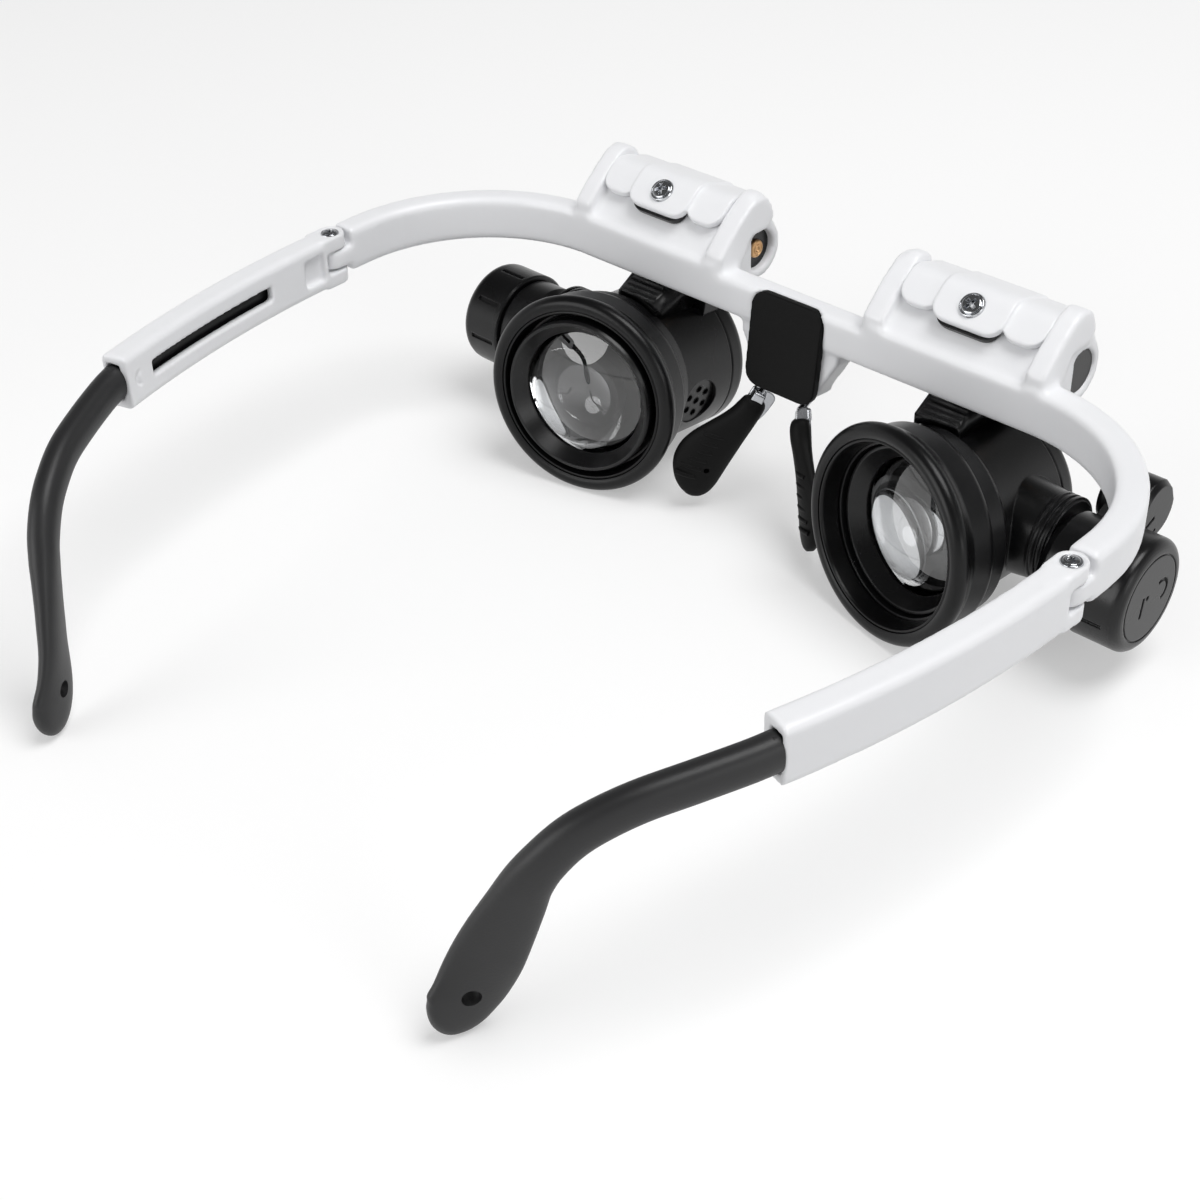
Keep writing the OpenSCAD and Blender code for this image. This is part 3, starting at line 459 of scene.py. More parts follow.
def rounded(corners, steps=5):
    """A closed outline whose corners (x, y, radius) are each rounded with a short curve."""
    line = []
    for k, (x, y, radius) in enumerate(corners):
        here = Vector((x, y))
        before, after = Vector(corners[k - 1][:2]), Vector(corners[(k + 1) % len(corners)][:2])
        if radius <= 0:
            line.append(tuple(here))
            continue
        cut_a = min(radius, (before - here).length * 0.49)
        cut_b = min(radius, (after - here).length * 0.49)
        start = here + (before - here).normalized() * cut_a
        end = here + (after - here).normalized() * cut_b
        for i in range(steps + 1):
            t = i / steps
            line.append(tuple(start * (1 - t) ** 2 + here * 2 * t * (1 - t) + end * t * t))
    return line


def turn(profile, steps=128):
    """Sweeps a closed profile of (radius, height) once round the Z axis."""
    points, rings = [], []
    angles = [math.tau * k / steps for k in range(steps)]
    for radius, height in profile:
        if radius < 1e-5:
            rings.append([len(points)] * steps)
            points.append((0, 0, height))
            continue
        rings.append(list(range(len(points), len(points) + steps)))
        points += [(radius * math.cos(a), radius * math.sin(a), height) for a in angles]
    faces = []
    for a, b in zip(rings, rings[1:] + rings[:1]):
        for k in range(steps):
            corner = (a[k], a[(k + 1) % steps], b[(k + 1) % steps], b[k])
            kept = list(dict.fromkeys(corner))
            if len(kept) > 2:
                faces.append(kept)
    return points, faces


def skin(rings):
    """Joins equal rings into a closed skin with a cap at each end."""
    count = len(rings[0])
    points = [p for ring in rings for p in ring]
    faces = [list(range(count))[::-1], list(range(len(points) - count, len(points)))]
    for j in range(len(rings) - 1):
        low = j * count
        for k in range(count):
            n = (k + 1) % count
            faces.append([low + k, low + n, low + count + n, low + count + k])
    return points, faces


def plain_mesh(holder, name):
    """The evaluated mesh of an object with live modifiers, as plain data. The object goes."""
    seen = bpy.context.evaluated_depsgraph_get()
    mesh = bpy.data.meshes.new_from_object(holder.evaluated_get(seen))
    mesh.name = name
    bpy.data.objects.remove(holder)
    return mesh


def closed(mesh):
    finish_mesh(mesh, 40)
    return mesh


def cut_away(mesh, cutters, name, how="DIFFERENCE"):
    """mesh with each cutter taken out of it, or with INTERSECT only what lies inside the cutter."""
    holder = new_object(name + "_work", mesh)
    tools = []
    for k, cutter in enumerate(cutters):
        tools.append(new_object(f"{name}_cutter_{k}", cutter))
        step = holder.modifiers.new("cut", "BOOLEAN")
        step.operation, step.solver, step.object = how, "EXACT", tools[-1]
    made = plain_mesh(holder, name)
    for tool in tools:
        bpy.data.objects.remove(tool)
    return made


# %% [markdown]
# ## Rounded moulded shells
# The frame, the temple sleeves and the brow pad have edges rounded by about a millimetre.
# Rounding every edge of a cut solid with a bevel fails where edges meet at odd angles. So a
# copy of the CAD mesh is skinned again with small even faces, which are then relaxed: flat
# areas stay and every edge becomes a soft curve. Solids that are added to the copy before
# it is skinned melt into it, and that is how the thick crests of the frame's ears are made.


# %% Softened copies of CAD nodes
def prism(outline, start, end, axis="X"):
    """An outline in the plane square to an axis, drawn out along that axis."""
    if axis == "X":
        rings = [[Vector((x, y, z)) for y, z in outline] for x in (start, end)]
    else:
        rings = [[Vector((x, y, z)) for x, y in outline] for z in (start, end)]
    return skin(rings)


def relaxed(mesh, name, voxel, rounds, factor=0.5):
    """The mesh skinned with voxels of a size in millimetres and smoothed a number of rounds."""
    holder = new_object(name + "_work", mesh)
    skinning = holder.modifiers.new("skin", "REMESH")
    skinning.mode, skinning.voxel_size, skinning.adaptivity = "VOXEL", voxel * MM, 0.0
    relax = holder.modifiers.new("relax", "SMOOTH")
    relax.factor, relax.iterations = factor, rounds
    return plain_mesh(holder, name)


def joined(meshes, name):
    work = bmesh.new()
    for mesh in meshes:
        work.from_mesh(mesh)
    bmesh.ops.remove_doubles(work, verts=work.verts, dist=2e-7)
    whole = bpy.data.meshes.new(name)
    work.to_mesh(whole)
    work.free()
    return whole


def soften(node, body, voxel, rounds, added=()):
    mesh = joined([frame["nodes"][node].data, *added], node + "_copy")
    made = relaxed(mesh, node + "_soft", voxel, rounds)
    print(node, "softened to", len(made.polygons), "faces")
    return add_piece(node + "_soft", made, body, SLOT_OF[node], [node], sharp=180)


EAR_CREST = [(16.6, 38.5), (16.5, 42.2), (14.2, 44.6), (11.4, 47.0), (9.0, 48.7), (7.6, 49.2), (6.2, 49.2),
             (4.8, 48.5), (3.9, 47.0), (3.2, 45.0), (4.6, 43.4), (9.0, 43.2), (10.6, 40.0), (12.2, 38.0)]
EARS = ((13.8, 17.5, -0.6), (42.3, 45.6, 0.0))  # start and end along the rod, and how much taller
COARSE = 1.0
crests = []
for side in SIDES:
    for start, end, taller in EARS:
        raised = Matrix.Translation((0, 0, taller))
        crests.append(closed(mesh_from("crest", prism(EAR_CREST, start, end), raised, side)))
soften("front_frame", "frame", 0.42 * COARSE, 7, crests)
soften("brow_pad", "frame", 0.2 * COARSE, 6)
for side in SIDES:
    soften(f"{side}_temple_sleeve", f"{side}_sleeve", 0.28 * COARSE, 4)

# %% [markdown]
# ## Tilt caps
# The cap over each carriage has a broad middle lobe and a narrower one on each side that
# stands a little lower, all with rounded lower corners and a common ridge. One outline
# across the rod gives a lobe its face, ridge and top, another in its face gives the rounded
# corners, and what lies inside both is the lobe. The three lobes and the shell below them
# are then melted together. The carriage keeps its drawn form, but its hidden top is cut
# away to suit, and a thin black lip reaches just past the middle lobe's lower edge.

# %% Cap lobes
FACE_DEGREES = 50.0
FACE = Matrix.Translation(ROD_AT) @ turned("X", FACE_DEGREES - 90)


def lobe_section(height, low, thick=1.25, ridge=3.6, front=-3.6):
    """Outline (y, z) round the rod of a lobe whose face stands at a height over the rod."""
    up, along_face = Vector((0.6428, 0.766)), Vector((-0.766, 0.6428))  # square to the face, and up it
    centre = Vector((ROD_AT.y, ROD_AT.z))
    low_out = centre + up * height + along_face * low
    top_out = centre + up * height + along_face * ridge
    fall = (top_out.x - centre.x - front) * 0.36
    front_out = Vector((centre.x + front, top_out.y - fall))
    outer = [(*low_out, 0.7), (*top_out, 2.4), (*front_out, 0.6)]
    low_in, top_in = low_out - up * thick, top_out + Vector((-0.5, -1)) * thick
    front_in = front_out + Vector((0.3, -1.25))
    return rounded([*outer, (*front_in, 0.2), (*top_in, 1.2), (*low_in, 0.2)], 6)


def lobe_mesh(middle, width, height, low, corner, side):
    """A lobe is what lies inside both its section across the rod and its outline in the face."""
    half = width / 2
    section = prism(lobe_section(height, low), ROD_AT.x + middle - half, ROD_AT.x + middle + half)
    body = mesh_from("lobe", section, Matrix.Identity(4), side)
    face = rounded([(middle - half, -14, 0), (middle + half, -14, 0),
                    (middle + half, -low, corner), (middle - half, -low, corner)], 8)
    window = mesh_from("lobe_face", prism(face, -2, 16, "Z"), FACE, side)
    return cut_away(closed(body), [closed(window)], "lobe", "INTERSECT")


CAP_HEIGHT = 10.9
LOBES = [  # middle along the rod, width, height of the face, lower end, corner radius
    (0.0, 12.2, CAP_HEIGHT, -3.5, 3.2), (8.95, 7.2, 10.3, -2.7, 3.4), (-8.95, 7.2, 10.3, -2.7, 3.4),
    (0.0, 24.9, 9.5, 1.2, 0.6)]
LIP_LOW, LIP_HIGH, CARRIAGE_HALF = 8.7, 9.6, 8
LIP = rounded([(-5.2, -3, 0), (5.2, -3, 0), (5.2, 3.9, 2.4), (-5.2, 3.9, 2.4)], 8)
CARRIAGE_TOP = [(ROD_AT.y + y, ROD_AT.z + z)
                for y, z in ((-12, 4.2), (3.9, 5.9), (12.6, 0.6), (20, 10), (0, 24), (-14, 20))]
for side in SIDES:
    lobes = joined([lobe_mesh(*row, side) for row in LOBES], "lobes")
    made = relaxed(lobes, f"{side}_cap_shell", 0.15 * COARSE, 6)
    add_piece(f"{side}_cap_shell", made, f"{side}_loupe", "white_shell", [f"{side}_tilt_cap"], sharp=180)
    lip = mesh_from("lip", prism(LIP, LIP_LOW, LIP_HIGH, "Z"), FACE, side)
    block = prism(CARRIAGE_TOP, ROD_AT.x - CARRIAGE_HALF, ROD_AT.x + CARRIAGE_HALF)
    cutter = closed(mesh_from("carriage_top", block, Matrix.Identity(4), side))
    carriage = joined([frame["nodes"][f"{side}_carriage"].data], "carriage")
    carriage = cut_away(carriage, [cutter], f"{side}_carriage_low")
    carriage = joined([carriage, closed(lip)], f"{side}_carriage_low")
    add_piece(f"{side}_carriage_low", carriage, f"{side}_loupe", "black_shell", [f"{side}_carriage"],
              sharp=35)
    print(side, "cap has", len(made.polygons), "faces")

# %% [markdown]
# ## Rubber eyecups
# An eyecup is a ring turned about the eyepiece's axis. Its rolled lip is a thick half
# round, with a sharp fold inside it, and it ends at the front in a thin step. A turned
# profile gives exactly these lines, so each cup is one sweep of one outline.


# %% Eyecups
def eyecup_outline():
    lip_r, lip_z, lip = 15.6, -1.78, 1.45
    line = rounded([(14.53, -8.0, 0), (15.5, -8.45, 0.3), (15.9, -7.7, 0.4), (15.72, -4.3, 0.4),
                    (16.3, -3.55, 0.5)])
    line += [(lip_r + lip * math.cos(math.radians(a)), lip_z + lip * math.sin(math.radians(a)))
             for a in range(-52, 132, 8)]
    line += rounded([(14.75, -0.78, 0.1), (14.5, -0.62, 0.12), (14.28, -0.66, 0.12), (14.1, -1.05, 0.2),
                     (13.66, -3.2, 0.3), (13.62, -3.6, 0.1), (14.53, -3.72, 0)])
    return line


for side in SIDES:
    mesh = mesh_from(f"{side}_eyecup_rubber", turn(eyecup_outline(), 160), EYEPIECE, side)
    add_piece(f"{side}_eyecup_rubber", mesh, f"{side}_loupe", "black_rubber", [f"{side}_eyecup"], sharp=50)
print("eyecups made with", len(eyecup_outline()), "points in their outline")

# %% [markdown]
# ## Lenses
# Each lens is bulged on both sides, and a fine turned mesh gives the smooth faces that
# bending light needs. The radius follows the CAD model, less a hair of clearance, and the
# bulges are chosen here. The eye lens bulges more than the CAD model's and stands a little
# deeper, so that what is seen through it swells as in the photograph.


# %% Lens shapes
def dome(radius, edge, bulge, steps=22):
    """Points from the middle of a round face out to its edge."""
    ball = (radius ** 2 + bulge ** 2) / (2 * bulge)
    line = [(radius * k / steps, edge + bulge - ball + math.sqrt(ball ** 2 - (radius * k / steps) ** 2))
            for k in range(steps)]
    return line + [(radius, edge)]


def lens_outline(radius, wall, rear, front):
    return dome(radius, wall / 2, rear) + [(r, -z) for r, z in reversed(dome(radius, wall / 2, front))]


LENS_R, LENS_WALL = 11.19, 1.9
EYE_LENS_DEPTH, EYE_BULGES = 4.4, (2.3, 3.8)
FRONT_LENS_DEPTH, FRONT_BULGES = 4.05, (0.6, 0.6)


def add_lens(node, side, place, bulges, body):
    """A lens in place of a CAD lens, with how far its rear and its front bulge."""
    mesh = mesh_from(node + "_glass", turn(lens_outline(LENS_R, LENS_WALL, *bulges), 128), place, side)
    add_piece(node + "_glass", mesh, body, "clear_lens", [node], sharp=35)


for side in SIDES:
    back = 0.0 if side == "left" else -CELL_TRAVEL
    place = EYEPIECE @ Matrix.Translation((0, 0, back - EYE_LENS_DEPTH))
    add_lens(f"{side}_eye_lens", side, place, EYE_BULGES, f"{side}_cell")
    place = BARREL @ Matrix.Translation((0, 0, -BARREL_LENGTH + FRONT_LENS_DEPTH))
    add_lens(f"{side}_front_lens", side, place, FRONT_BULGES, f"{side}_loupe")
print("lenses made")

# %% [markdown]
# ## Temple arms
# A black arm is one bar that leaves the sleeve, bends down behind the ear and ends in a
# flat paddle with a hole for a cord. Its rings are superellipses set square to a smooth
# path. Each one takes its width and height from the nearest steps of the path.

# %% Temple arm path and sections
SLEEVE_Z, BOW_R, BOW_CENTRE = 35.9, 176.0, Vector((-105.1732, 45.4284))
ARM_WIDTH, ARM_HEIGHT = 4.2, 5.4
ARM_START, ARM_START_DEGREES = Vector((63.3973, 97.2291, SLEEVE_Z)), 17.0819
HOOK = [  # length, heading, drop, share of the width, share of the height
    (3.4, -22, -6, 1, 1), (6.6, -26.5, -7, 1, 1), (6.6, -29, -9, 1, 1), (5.2, -33, -20, 1, 1),
    (4.1, -35, -31, 1, 1.02), (4.4, -38, -46, 1, 1.04), (3.5, -44, -57, 1, 1.08),
    (3.72, -46, -66, 0.98, 1.18), (5.5, -46, -66, 0.9, 1.36), (5.3, -44, -67, 0.82, 1.6),
    (4, -36, -64, 0.76, 1.74), (3.2, -28, -52, 0.72, 1.76),
    (2.2, -24, -38, 0.7, 1.72), (1.3, -22, -30, 0.68, 1.66)]
TIP_ROUND, TIP_EDGE = 4.4, 1.5
BOW_START_DEGREES, TONGUE_SHIFT = 1, 0.35
CORD_HOLE_SPOT, CORD_HOLE_TURN, CORD_HOLE_R = 11, 34, 1.25


def arm_spots():
    spots = [ARM_START]
    for length, heading, drop, _, _ in HOOK:
        h, d = math.radians(heading), math.radians(drop)
        step = Vector((math.cos(d) * math.sin(h), math.cos(d) * math.cos(h), math.sin(d)))
        spots.append(spots[-1] + length * step)
    return spots


def between(a, b, c, d, t):
    """A smooth curve from b to c that heads as the line through its neighbours does."""
    square = (2 * a - 5 * b + 4 * c - d) * t * t
    cube = (3 * b - a - 3 * c + d) * t ** 3
    return 0.5 * (2 * b + (c - a) * t + square + cube)


def smooth_row(rows, k, t):
    """A row between rows k and k + 1, each of its values on the smooth curve."""
    return tuple(between(*(rows[k + m][i] for m in (-1, 0, 1, 2)), t) for i in range(len(rows[k])))


def past(row, neighbour):
    """The row as far beyond a row as its neighbour is before it."""
    return tuple(2 * a - b for a, b in zip(row, neighbour))


def arm_path(parts=8):
    """Points along the middle of the arm with half widths and heights, before its tip is rounded."""
    shares = [row[3:] for row in HOOK] + [HOOK[-1][3:]]
    rows = [(*spot, wide * ARM_WIDTH / 2, tall * ARM_HEIGHT / 2)
            for spot, (wide, tall) in zip(arm_spots(), shares)]
    beyond = (*past(rows[-1][:3], rows[-2][:3]), *rows[-1][3:])
    rows = [past(rows[0], rows[1]), *rows, beyond]
    path = [smooth_row(rows, k, step / parts) for k in range(1, len(rows) - 2) for step in range(parts)]
    return [*path, rows[-2]]


def along(path, reach):
    """The row of the path at a given length from its start."""
    for a, b in zip(path, path[1:]):
        step = (Vector(b[:3]) - Vector(a[:3])).length
        if reach <= step:
            return tuple(x + (y - x) * reach / step for x, y in zip(a, b))
        reach -= step
    return path[-1]


def oval(width, height, count, power):
    ring = []
    for k in range(count):
        a = math.tau * k / count
        x = math.copysign(abs(math.cos(a)) ** (2 / power), math.cos(a)) * width
        z = math.copysign(abs(math.sin(a)) ** (2 / power), math.sin(a)) * height
        ring.append((x, z))
    return ring


def tip_share(left, rounding):
    """How much of its full size a section keeps at a distance from the tip."""
    return math.sqrt(max(1 - (1 - min(left / rounding, 1)) ** 2, 0.0))


def arm_rings(count=40, steps=64, look=0.6, power=2.3):
    """Rings square to the arm's path, closer together where the tip is rounded."""
    path = arm_path()
    length = sum((Vector(b[:3]) - Vector(a[:3])).length for a, b in zip(path, path[1:]))
    reaches = [k * (length - TIP_ROUND) / steps for k in range(steps)]
    reaches += [length - TIP_ROUND * (1 - math.sin(math.radians(a))) for a in range(0, 90, 6)]
    reaches.append(length - 0.004)
    rings = []
    for reach in reaches:
        x, y, z, width, height = along(path, reach)
        front = Vector(along(path, min(reach + look, length))[:3])
        back = Vector(along(path, max(reach - look, 0))[:3])
        ahead = front - back
        if reach == 0:
            heading = math.radians(ARM_START_DEGREES)
            ahead = Vector((-math.sin(heading), math.cos(heading), 0))
        across = ahead.cross(Vector((0, 0, 1))).normalized()
        up = across.cross(ahead).normalized()
        tall = tip_share(length - reach, TIP_ROUND) * height
        wide = tip_share(length - reach, TIP_EDGE) * width
        rings.append([Vector((x, y, z)) + across * u + up * v for u, v in oval(wide, tall, count, power)])
    return rings


# %% Temple arms and their tongues
def bow_point(length, radius_shift, z):
    turn_by = math.radians(BOW_START_DEGREES + length / BOW_R * 180 / math.pi)
    radius = BOW_R + radius_shift
    return Vector((BOW_CENTRE.x + radius * math.cos(turn_by), BOW_CENTRE.y + radius * math.sin(turn_by), z))


def tongue_rings(start=13.0, end=50.2, steps=30):
    rings = []
    outline = rounded([(-0.85, -2.6, 0.3), (0.85, -2.6, 0.3), (0.85, 2.6, 0.3), (-0.85, 2.6, 0.3)], 3)
    for k in range(steps + 1):
        length = start + (end - start) * k / steps
        rings.append([bow_point(length, TONGUE_SHIFT + u, SLEEVE_Z + v) for u, v in outline])
    return rings


def pin(radius, low, high, steps):
    """A round pin along Z, to cut a hole with."""
    return turn([(0, low), (radius, low), (radius, high), (0, high)], steps)


def arm_mesh(name, side):
    body = mesh_from(name, skin(arm_rings()), Matrix.Identity(4), side)
    place = Matrix.Translation(arm_spots()[CORD_HOLE_SPOT]) @ turned("Z", CORD_HOLE_TURN) @ turned("Y", 90)
    hole = mesh_from("cord_hole", pin(CORD_HOLE_R, -6, 6, 40), place, side)
    return cut_away(closed(body), [closed(hole)], name)


for side in SIDES:
    mesh = arm_mesh(f"{side}_ear_arm", side)
    add_piece(f"{side}_ear_arm", mesh, f"{side}_arm", "black_shell", [f"{side}_temple_arm"], 35, ARM_FINISH)
    mesh = mesh_from(f"{side}_arm_tongue", skin(tongue_rings()), Matrix.Identity(4), side)
    add_piece(f"{side}_arm_tongue", mesh, f"{side}_arm", "black_shell", sharp=35)
    print(side, "arm has", len(arm_rings()), "rings")

# %% [markdown]
# ## Nose pads
# A nose pad is a soft silicone leaf on a small steel plate. It is narrow at the top, broad
# and rounded at the bottom, and domed towards the nose, with fine grip ribs across it and
# a small hole. It is lofted in its own frame, where Y runs down the pad and Z comes out
# of the soft face.

# %% Nose pad leaf
NOSE_AT = JOINT_AT["left_nose_pivot"] + Vector((0, MIDDLE_Y, 0))
NOSE_PLANE = Matrix.Translation(NOSE_AT) @ turned("Z", 43.5) @ turned("X", -90)
NOSE_LEAF = NOSE_PLANE @ turned("Z", -29.5) @ turned("X", -1.2)
NOSE_LENGTH = 20.6
LEAF = [  # distance down the pad, inner edge, outer edge, half thickness, height of its middle
    (1.45, -0.9, 0.9, 0.5, 0.3), (1.6, -1.5, 1.5, 0.9, 0.35), (2.1, -1.95, 1.95, 1.35, 0.4),
    (3.2, -2.1, 2.2, 1.6, 0.45), (5, -2.15, 2.6, 1.6, 0.45), (7, -2.25, 3.4, 1.45, 0.4),
    (9.5, -2.35, 4.6, 1.35, 0.35), (12, -2.5, 5.7, 1.35, 0.3), (14.5, -2.6, 6.3, 1.4, 0.25),
    (17, -2.7, 6.2, 1.4, 0.2), (19, -2.7, 5.5, 1.4, 0.15), (20.8, -2.3, 4.2, 1.25, 0.1),
    (21.9, -1.5, 2.8, 1.0, 0.05), (22.5, -0.5, 1.4, 0.6, 0.0)]
LEAF_CURL = 0.045
PAD_HOLE = NOSE_LEAF @ Matrix.Translation((0.6, NOSE_LENGTH - 4.05, -3))
RIBS_AT = NOSE_LEAF @ Matrix.Translation((2.9, 10.2, 1.32)) @ turned("Z", -3) @ turned("Y", 13)


def leaf_rings(count=48, parts=4, power=2.5):
    """Rings down the pad. Its edges curl back from the nose."""
    rows = [past(LEAF[0], LEAF[1]), *LEAF, past(LEAF[-1], LEAF[-2])]
    spots = [(k, step / parts) for k in range(1, len(rows) - 2) for step in range(parts)]
    rings = []
    for k, t in [*spots, (len(rows) - 3, 1.0)]:
        y, inner, outer, thick, rise = smooth_row(rows, k, t)
        middle, width = (inner + outer) / 2, (outer - inner) / 2
        rings.append([Vector((middle + u, y, rise + v - LEAF_CURL * u * u))
                      for u, v in oval(width, thick, count, power)])
    return rings


# %% Grip ribs by Geometry Nodes
def start_tree(name, inputs):
    return start_group(name, "GeometryNodeTree", inputs + [("Material", "Material", None)],
                       [("Geometry", "Geometry")])


def end_tree(tree, enter, leave, points, instance, **given):
    """The instance stands on each point, made real, smooth and painted. That is the tree's result."""
    link = tree.links.new
    step = add_node(tree, "GeometryNodeInstanceOnPoints")
    for label, value in {"Points": points, "Instance": instance, **given}.items():
        link(value, step.inputs[label])
    for kind in ("GeometryNodeRealizeInstances", "GeometryNodeSetShadeSmooth", "GeometryNodeSetMaterial"):
        shape = step.outputs[0]
        step = add_node(tree, kind)
        link(shape, step.inputs[0])
    link(enter.outputs["Material"], step.inputs["Material"])
    link(step.outputs[0], leave.inputs[0])
    return tree


def grow(name, tree, values, place, side):
    """Runs a tree with named values and returns its result as a plain mesh on its side."""
    holder = new_object(name + "_seed", bpy.data.meshes.new(name + "_seed"))
    step = holder.modifiers.new("grow", "NODES")
    step.node_group = tree
    for item in tree.interface.items_tree:
        if item.in_out == "INPUT" and item.name in values:
            step[item.identifier] = values[item.name]
    mesh = plain_mesh(holder, name)
    mesh.transform(to_row(side) @ place)
    return mesh


def build_rib_tree():
    """Arched ribs in a row along Y, each a little wider than the one before."""
    tree, enter, leave = start_tree("pad_ribs", [
        ("Count", "Int", 6), ("Pitch", "Float", 1.75), ("First Width", "Float", 1.4),
        ("Last Width", "Float", 1.5), ("Rise", "Float", 0.22), ("Thickness", "Float", 0.42)])
    link = tree.links.new
    pitch = add_node(tree, "ShaderNodeCombineXYZ")
    link(enter.outputs["Pitch"], pitch.inputs["Y"])
    row = add_node(tree, "GeometryNodeMeshLine")
    link(enter.outputs["Count"], row.inputs["Count"])
    link(pitch.outputs[0], row.inputs["Offset"])
    arc = add_node(tree, "GeometryNodeCurveQuadraticBezier", Resolution=14,
                   Start=(-1, -0.5, -0.3), End=(1, 0.5, -0.3))
    rise = add_node(tree, "ShaderNodeCombineXYZ")
    link(enter.outputs["Rise"], rise.inputs["Z"])
    link(rise.outputs[0], arc.inputs["Middle"])
    bead = add_node(tree, "GeometryNodeCurvePrimitiveCircle", Resolution=8)
    link(enter.outputs["Thickness"], bead.inputs["Radius"])
    rib = add_node(tree, "GeometryNodeCurveToMesh", Fill_Caps=True)
    link(arc.outputs[0], rib.inputs["Curve"])
    link(bead.outputs[0], rib.inputs["Profile Curve"])
    number = add_node(tree, "GeometryNodeInputIndex")
    width = add_node(tree, "ShaderNodeMapRange", From_Max=5)
    link(number.outputs[0], width.inputs["Value"])
    link(enter.outputs["First Width"], width.inputs["To Min"])
    link(enter.outputs["Last Width"], width.inputs["To Max"])
    size = add_node(tree, "ShaderNodeCombineXYZ", Y=1, Z=1)
    link(width.outputs[0], size.inputs["X"])
    return end_tree(tree, enter, leave, row.outputs[0], rib.outputs[0], Scale=size.outputs[0])


RIB_TREE = build_rib_tree()
for side in SIDES:
    leaf = mesh_from(f"{side}_nose_leaf", skin(leaf_rings()), NOSE_LEAF, side)
    hole = mesh_from("pad_hole", pin(0.5, 0, 6, 28), PAD_HOLE, side)
    leaf = cut_away(closed(leaf), [closed(hole)], f"{side}_nose_leaf")
    pad = add_piece(f"{side}_nose_leaf", leaf, f"{side}_nose", "soft_pad", [f"{side}_nose_pad"], sharp=50)
    ribs = grow(f"{side}_nose_ribs", RIB_TREE, {"Material": FINISH["soft_pad"]}, RIBS_AT, side)
    add_piece(f"{side}_nose_ribs", ribs, f"{side}_nose", "soft_pad", sharp=60)
print("nose pads made")

# %% [markdown]
# ## Nose clasps and rod ends
# Behind the top of each nose pad stands a small polished steel leaf, folded over at its
# top to hold the pad. The end of the brass rod shows in the window of an ear, turned with
# a shoulder and a centre dimple.

# %% Nose clasps
CLASP = rounded([(-3.3, 0.0, 1.6), (1.2, 0.0, 0.6), (1.2, 3.0, 0.6), (0.6, 6.6, 0.8), (-1.9, 7.6, 1.0),
                 (-3.1, 4.4, 1.5)], 6)
FOLD = rounded([(-1.4, 0.1, 0.3), (-0.2, -0.4, 0.7), (0.9, 0.2, 0.5), (1.1, 1.7, 0.1), (0.7, 1.9, 0.1),
                (-1.4, 1.9, 0.1)], 5)
SHEET_LOW, SHEET_HIGH, FOLD_HALF = -1.22, -0.85, 1.0
for side in SIDES:
    sheet = mesh_from("sheet", prism(CLASP, SHEET_LOW, SHEET_HIGH, "Z"), NOSE_LEAF, side)
    rings = [[Vector((x, y, z)) for z, y in FOLD] for x in (-FOLD_HALF, FOLD_HALF)]
    fold = mesh_from("fold", skin(rings), NOSE_LEAF, side)
    whole = joined([closed(sheet), closed(fold)], "clasp")
    mesh = relaxed(whole, f"{side}_nose_clasp", 0.09 * COARSE, 3)
    add_piece(f"{side}_nose_clasp", mesh, f"{side}_nose", "plate_steel", [f"{side}_nose_plate"], sharp=180)

# %% Rod ends
ROD_END = rounded([(0, 0.12, 0), (0.35, 0.12, 0.05), (0.5, 0.34, 0.06), (0.72, 0.34, 0.05),
                   (0.8, 0.16, 0.05), (1.0, 0.16, 0.05), (1.08, 0.3, 0.05), (1.34, 0.26, 0.12),
                   (1.48, 0.0, 0.05), (1.48, -0.9, 0), (0, -0.9, 0)], 4)
for side in SIDES:
    inner, outer = sorted(abs((Vector(corner) / MM).x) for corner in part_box(f"{side}_rod"))
    for name, x, face in (("inner", inner, -90), ("outer", outer, 90)):
        place = Matrix.Translation((x, ROD_AT.y, ROD_AT.z)) @ turned("Y", face)
        mesh = mesh_from(f"{side}_rod_{name}_end", turn(ROD_END, 56), place, side)
        add_piece(f"{side}_rod_{name}_end", mesh, "frame", "brass_rod", sharp=35)
print("clasps and rod ends made")

# %% [markdown]
# ## Screws
# Four bright screws show: one in each cap and one in each hinge. The head is turned with
# a low dome, and a cross is cut into it. A small tree puts a copy of that one head on each
# seat, at the size and turn given to it.

# %% Screw head
HEAD_R = 2.05
CROSS_ARM = ((0.5, 0.05, -0.28), (1.25, 0.4, 1.1))  # half length, half width, height: low end, top end


def screw_head():
    radius, base, rise = 1.5, 0.5, 0.22
    angles = [math.radians(a) for a in range(0, 85, 9)]
    crown = [(radius * math.sin(a), base + rise * math.cos(a)) for a in angles]
    rim = rounded([(1.52, 0.3, 0.05), (1.62, 0.3, 0.04), (1.66, 0.44, 0.06), (1.86, 0.42, 0.1),
                   (HEAD_R, 0.1, 0.1), (HEAD_R, -0.3, 0.05), (0, -0.3, 0)], 4)
    cutters = []
    for angle in (0, 90):
        arm = new_mesh("cross_arm", skin([[(x * w, y * t, z) for x, y in SQUARE] for w, t, z in CROSS_ARM]))
        arm.transform(turned("Z", angle))
        cutters.append(arm)
    return cut_away(closed(new_mesh("screw_head", turn(crown + rim, 72))), cutters, "screw_head_cut")


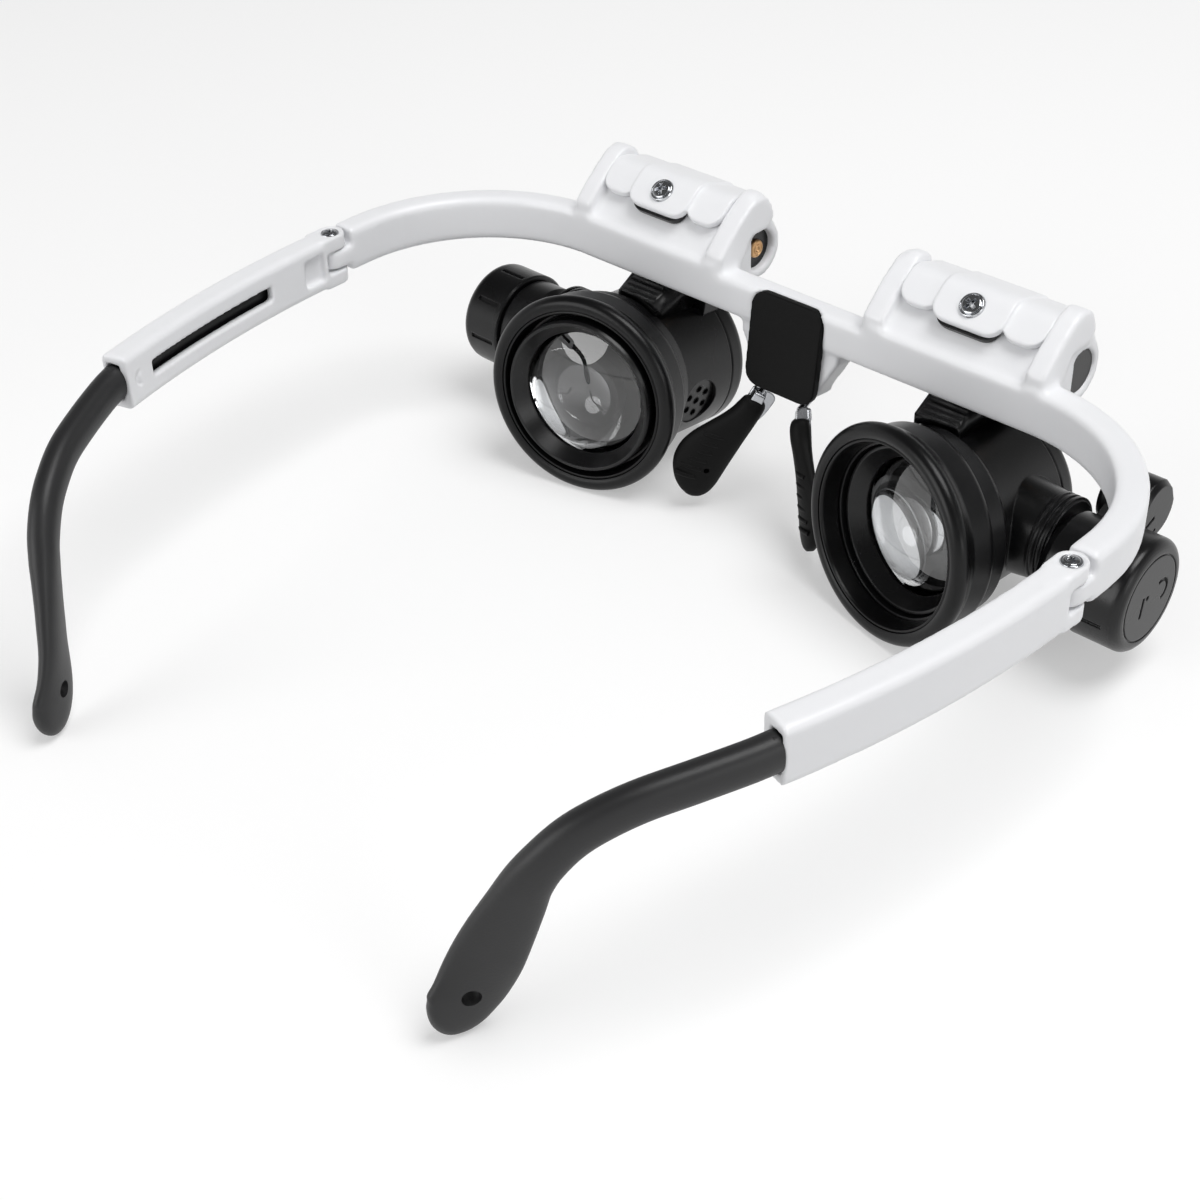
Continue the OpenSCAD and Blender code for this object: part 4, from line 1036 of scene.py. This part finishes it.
def build_screw_tree():
    tree, enter, leave = start_tree("screw_on_seat", [
        ("Head", "Object", None), ("Seat", "Vector", (0, 0, 0)), ("Turn", "Float", 0.0),
        ("Size", "Float", 1.0)])
    link = tree.links.new
    spot = add_node(tree, "GeometryNodePoints")
    link(enter.outputs["Seat"], spot.inputs["Position"])
    head = add_node(tree, "GeometryNodeObjectInfo")
    link(enter.outputs["Head"], head.inputs["Object"])
    spin = add_node(tree, "ShaderNodeCombineXYZ")
    link(enter.outputs["Turn"], spin.inputs["Z"])
    return end_tree(tree, enter, leave, spot.outputs[0], head.outputs["Geometry"],
                    Rotation=spin.outputs[0], Scale=enter.outputs["Size"])


SCREW_TREE = build_screw_tree()
SCREW_TURN, HINGE_SCREW_SIZE, SCREW_SINK = 0.5, 0.76, 0.48
HINGE_SEAT = Matrix.Translation((70.8, 48.5, 40.3 - SCREW_SINK))
head_object = new_object("screw_head_source", screw_head())
for side in SIDES:
    for node, place, height, size, body in (
            ("cap_screw", FACE, CAP_HEIGHT, 1.0, f"{side}_loupe"),
            ("hinge_screw", HINGE_SEAT, 0, HINGE_SCREW_SIZE, f"{side}_sleeve")):
        values = {"Head": head_object, "Seat": (0, 0, height), "Turn": SCREW_TURN, "Size": size,
                  "Material": FINISH["chrome_steel"]}
        mesh = grow(f"{side}_{node}_head", SCREW_TREE, values, place, side)
        add_piece(f"{side}_{node}_head", mesh, body, "chrome_steel", [f"{side}_{node}"], sharp=35)
bpy.data.objects.remove(head_object)
print("screws made")

# %% [markdown]
# ## Vents
# A small round vent is let into each barrel on the nose side, with a ring of six holes
# round a seventh. The CAD node has the holes, and a tree sets a fine raised rim round each.

# %% Vent rims
VENT_BACK, VENT_TURN, VENT_SINK = 10.6, 168, 0.8
VENT = (BARREL @ Matrix.Translation((0, 0, -VENT_BACK)) @ turned("Z", VENT_TURN) @ turned("Y", 90)
        @ Matrix.Translation((0, 0, BARREL_R - VENT_SINK)))


def build_vent_tree():
    tree, enter, leave = start_tree("vent_rims", [
        ("Holes In Ring", "Int", 6), ("Ring Radius", "Float", 2.35), ("Hole Radius", "Float", 0.66),
        ("Rim", "Float", 0.07)])
    link = tree.links.new
    ring = add_node(tree, "GeometryNodeMeshCircle")
    link(enter.outputs["Holes In Ring"], ring.inputs["Vertices"])
    link(enter.outputs["Ring Radius"], ring.inputs["Radius"])
    turned_ring = add_node(tree, "GeometryNodeTransform", Rotation=(0, 0, math.radians(30)))
    link(ring.outputs[0], turned_ring.inputs[0])
    middle = add_node(tree, "GeometryNodePoints")
    spots = add_node(tree, "GeometryNodeJoinGeometry")
    link(turned_ring.outputs[0], spots.inputs[0])
    link(middle.outputs[0], spots.inputs[0])
    loop = add_node(tree, "GeometryNodeCurvePrimitiveCircle", Resolution=28)
    link(enter.outputs["Hole Radius"], loop.inputs["Radius"])
    wire = add_node(tree, "GeometryNodeCurvePrimitiveCircle", Resolution=8)
    link(enter.outputs["Rim"], wire.inputs["Radius"])
    rim = add_node(tree, "GeometryNodeCurveToMesh")
    link(loop.outputs[0], rim.inputs["Curve"])
    link(wire.outputs[0], rim.inputs["Profile Curve"])
    return end_tree(tree, enter, leave, spots.outputs[0], rim.outputs[0])


VENT_TREE = build_vent_tree()
for side in SIDES:
    mesh = grow(f"{side}_vent_rims", VENT_TREE, {"Material": FINISH["black_shell"]}, VENT, side)
    add_piece(f"{side}_vent_rims", mesh, f"{side}_loupe", "black_shell", sharp=60)
print("vents made")
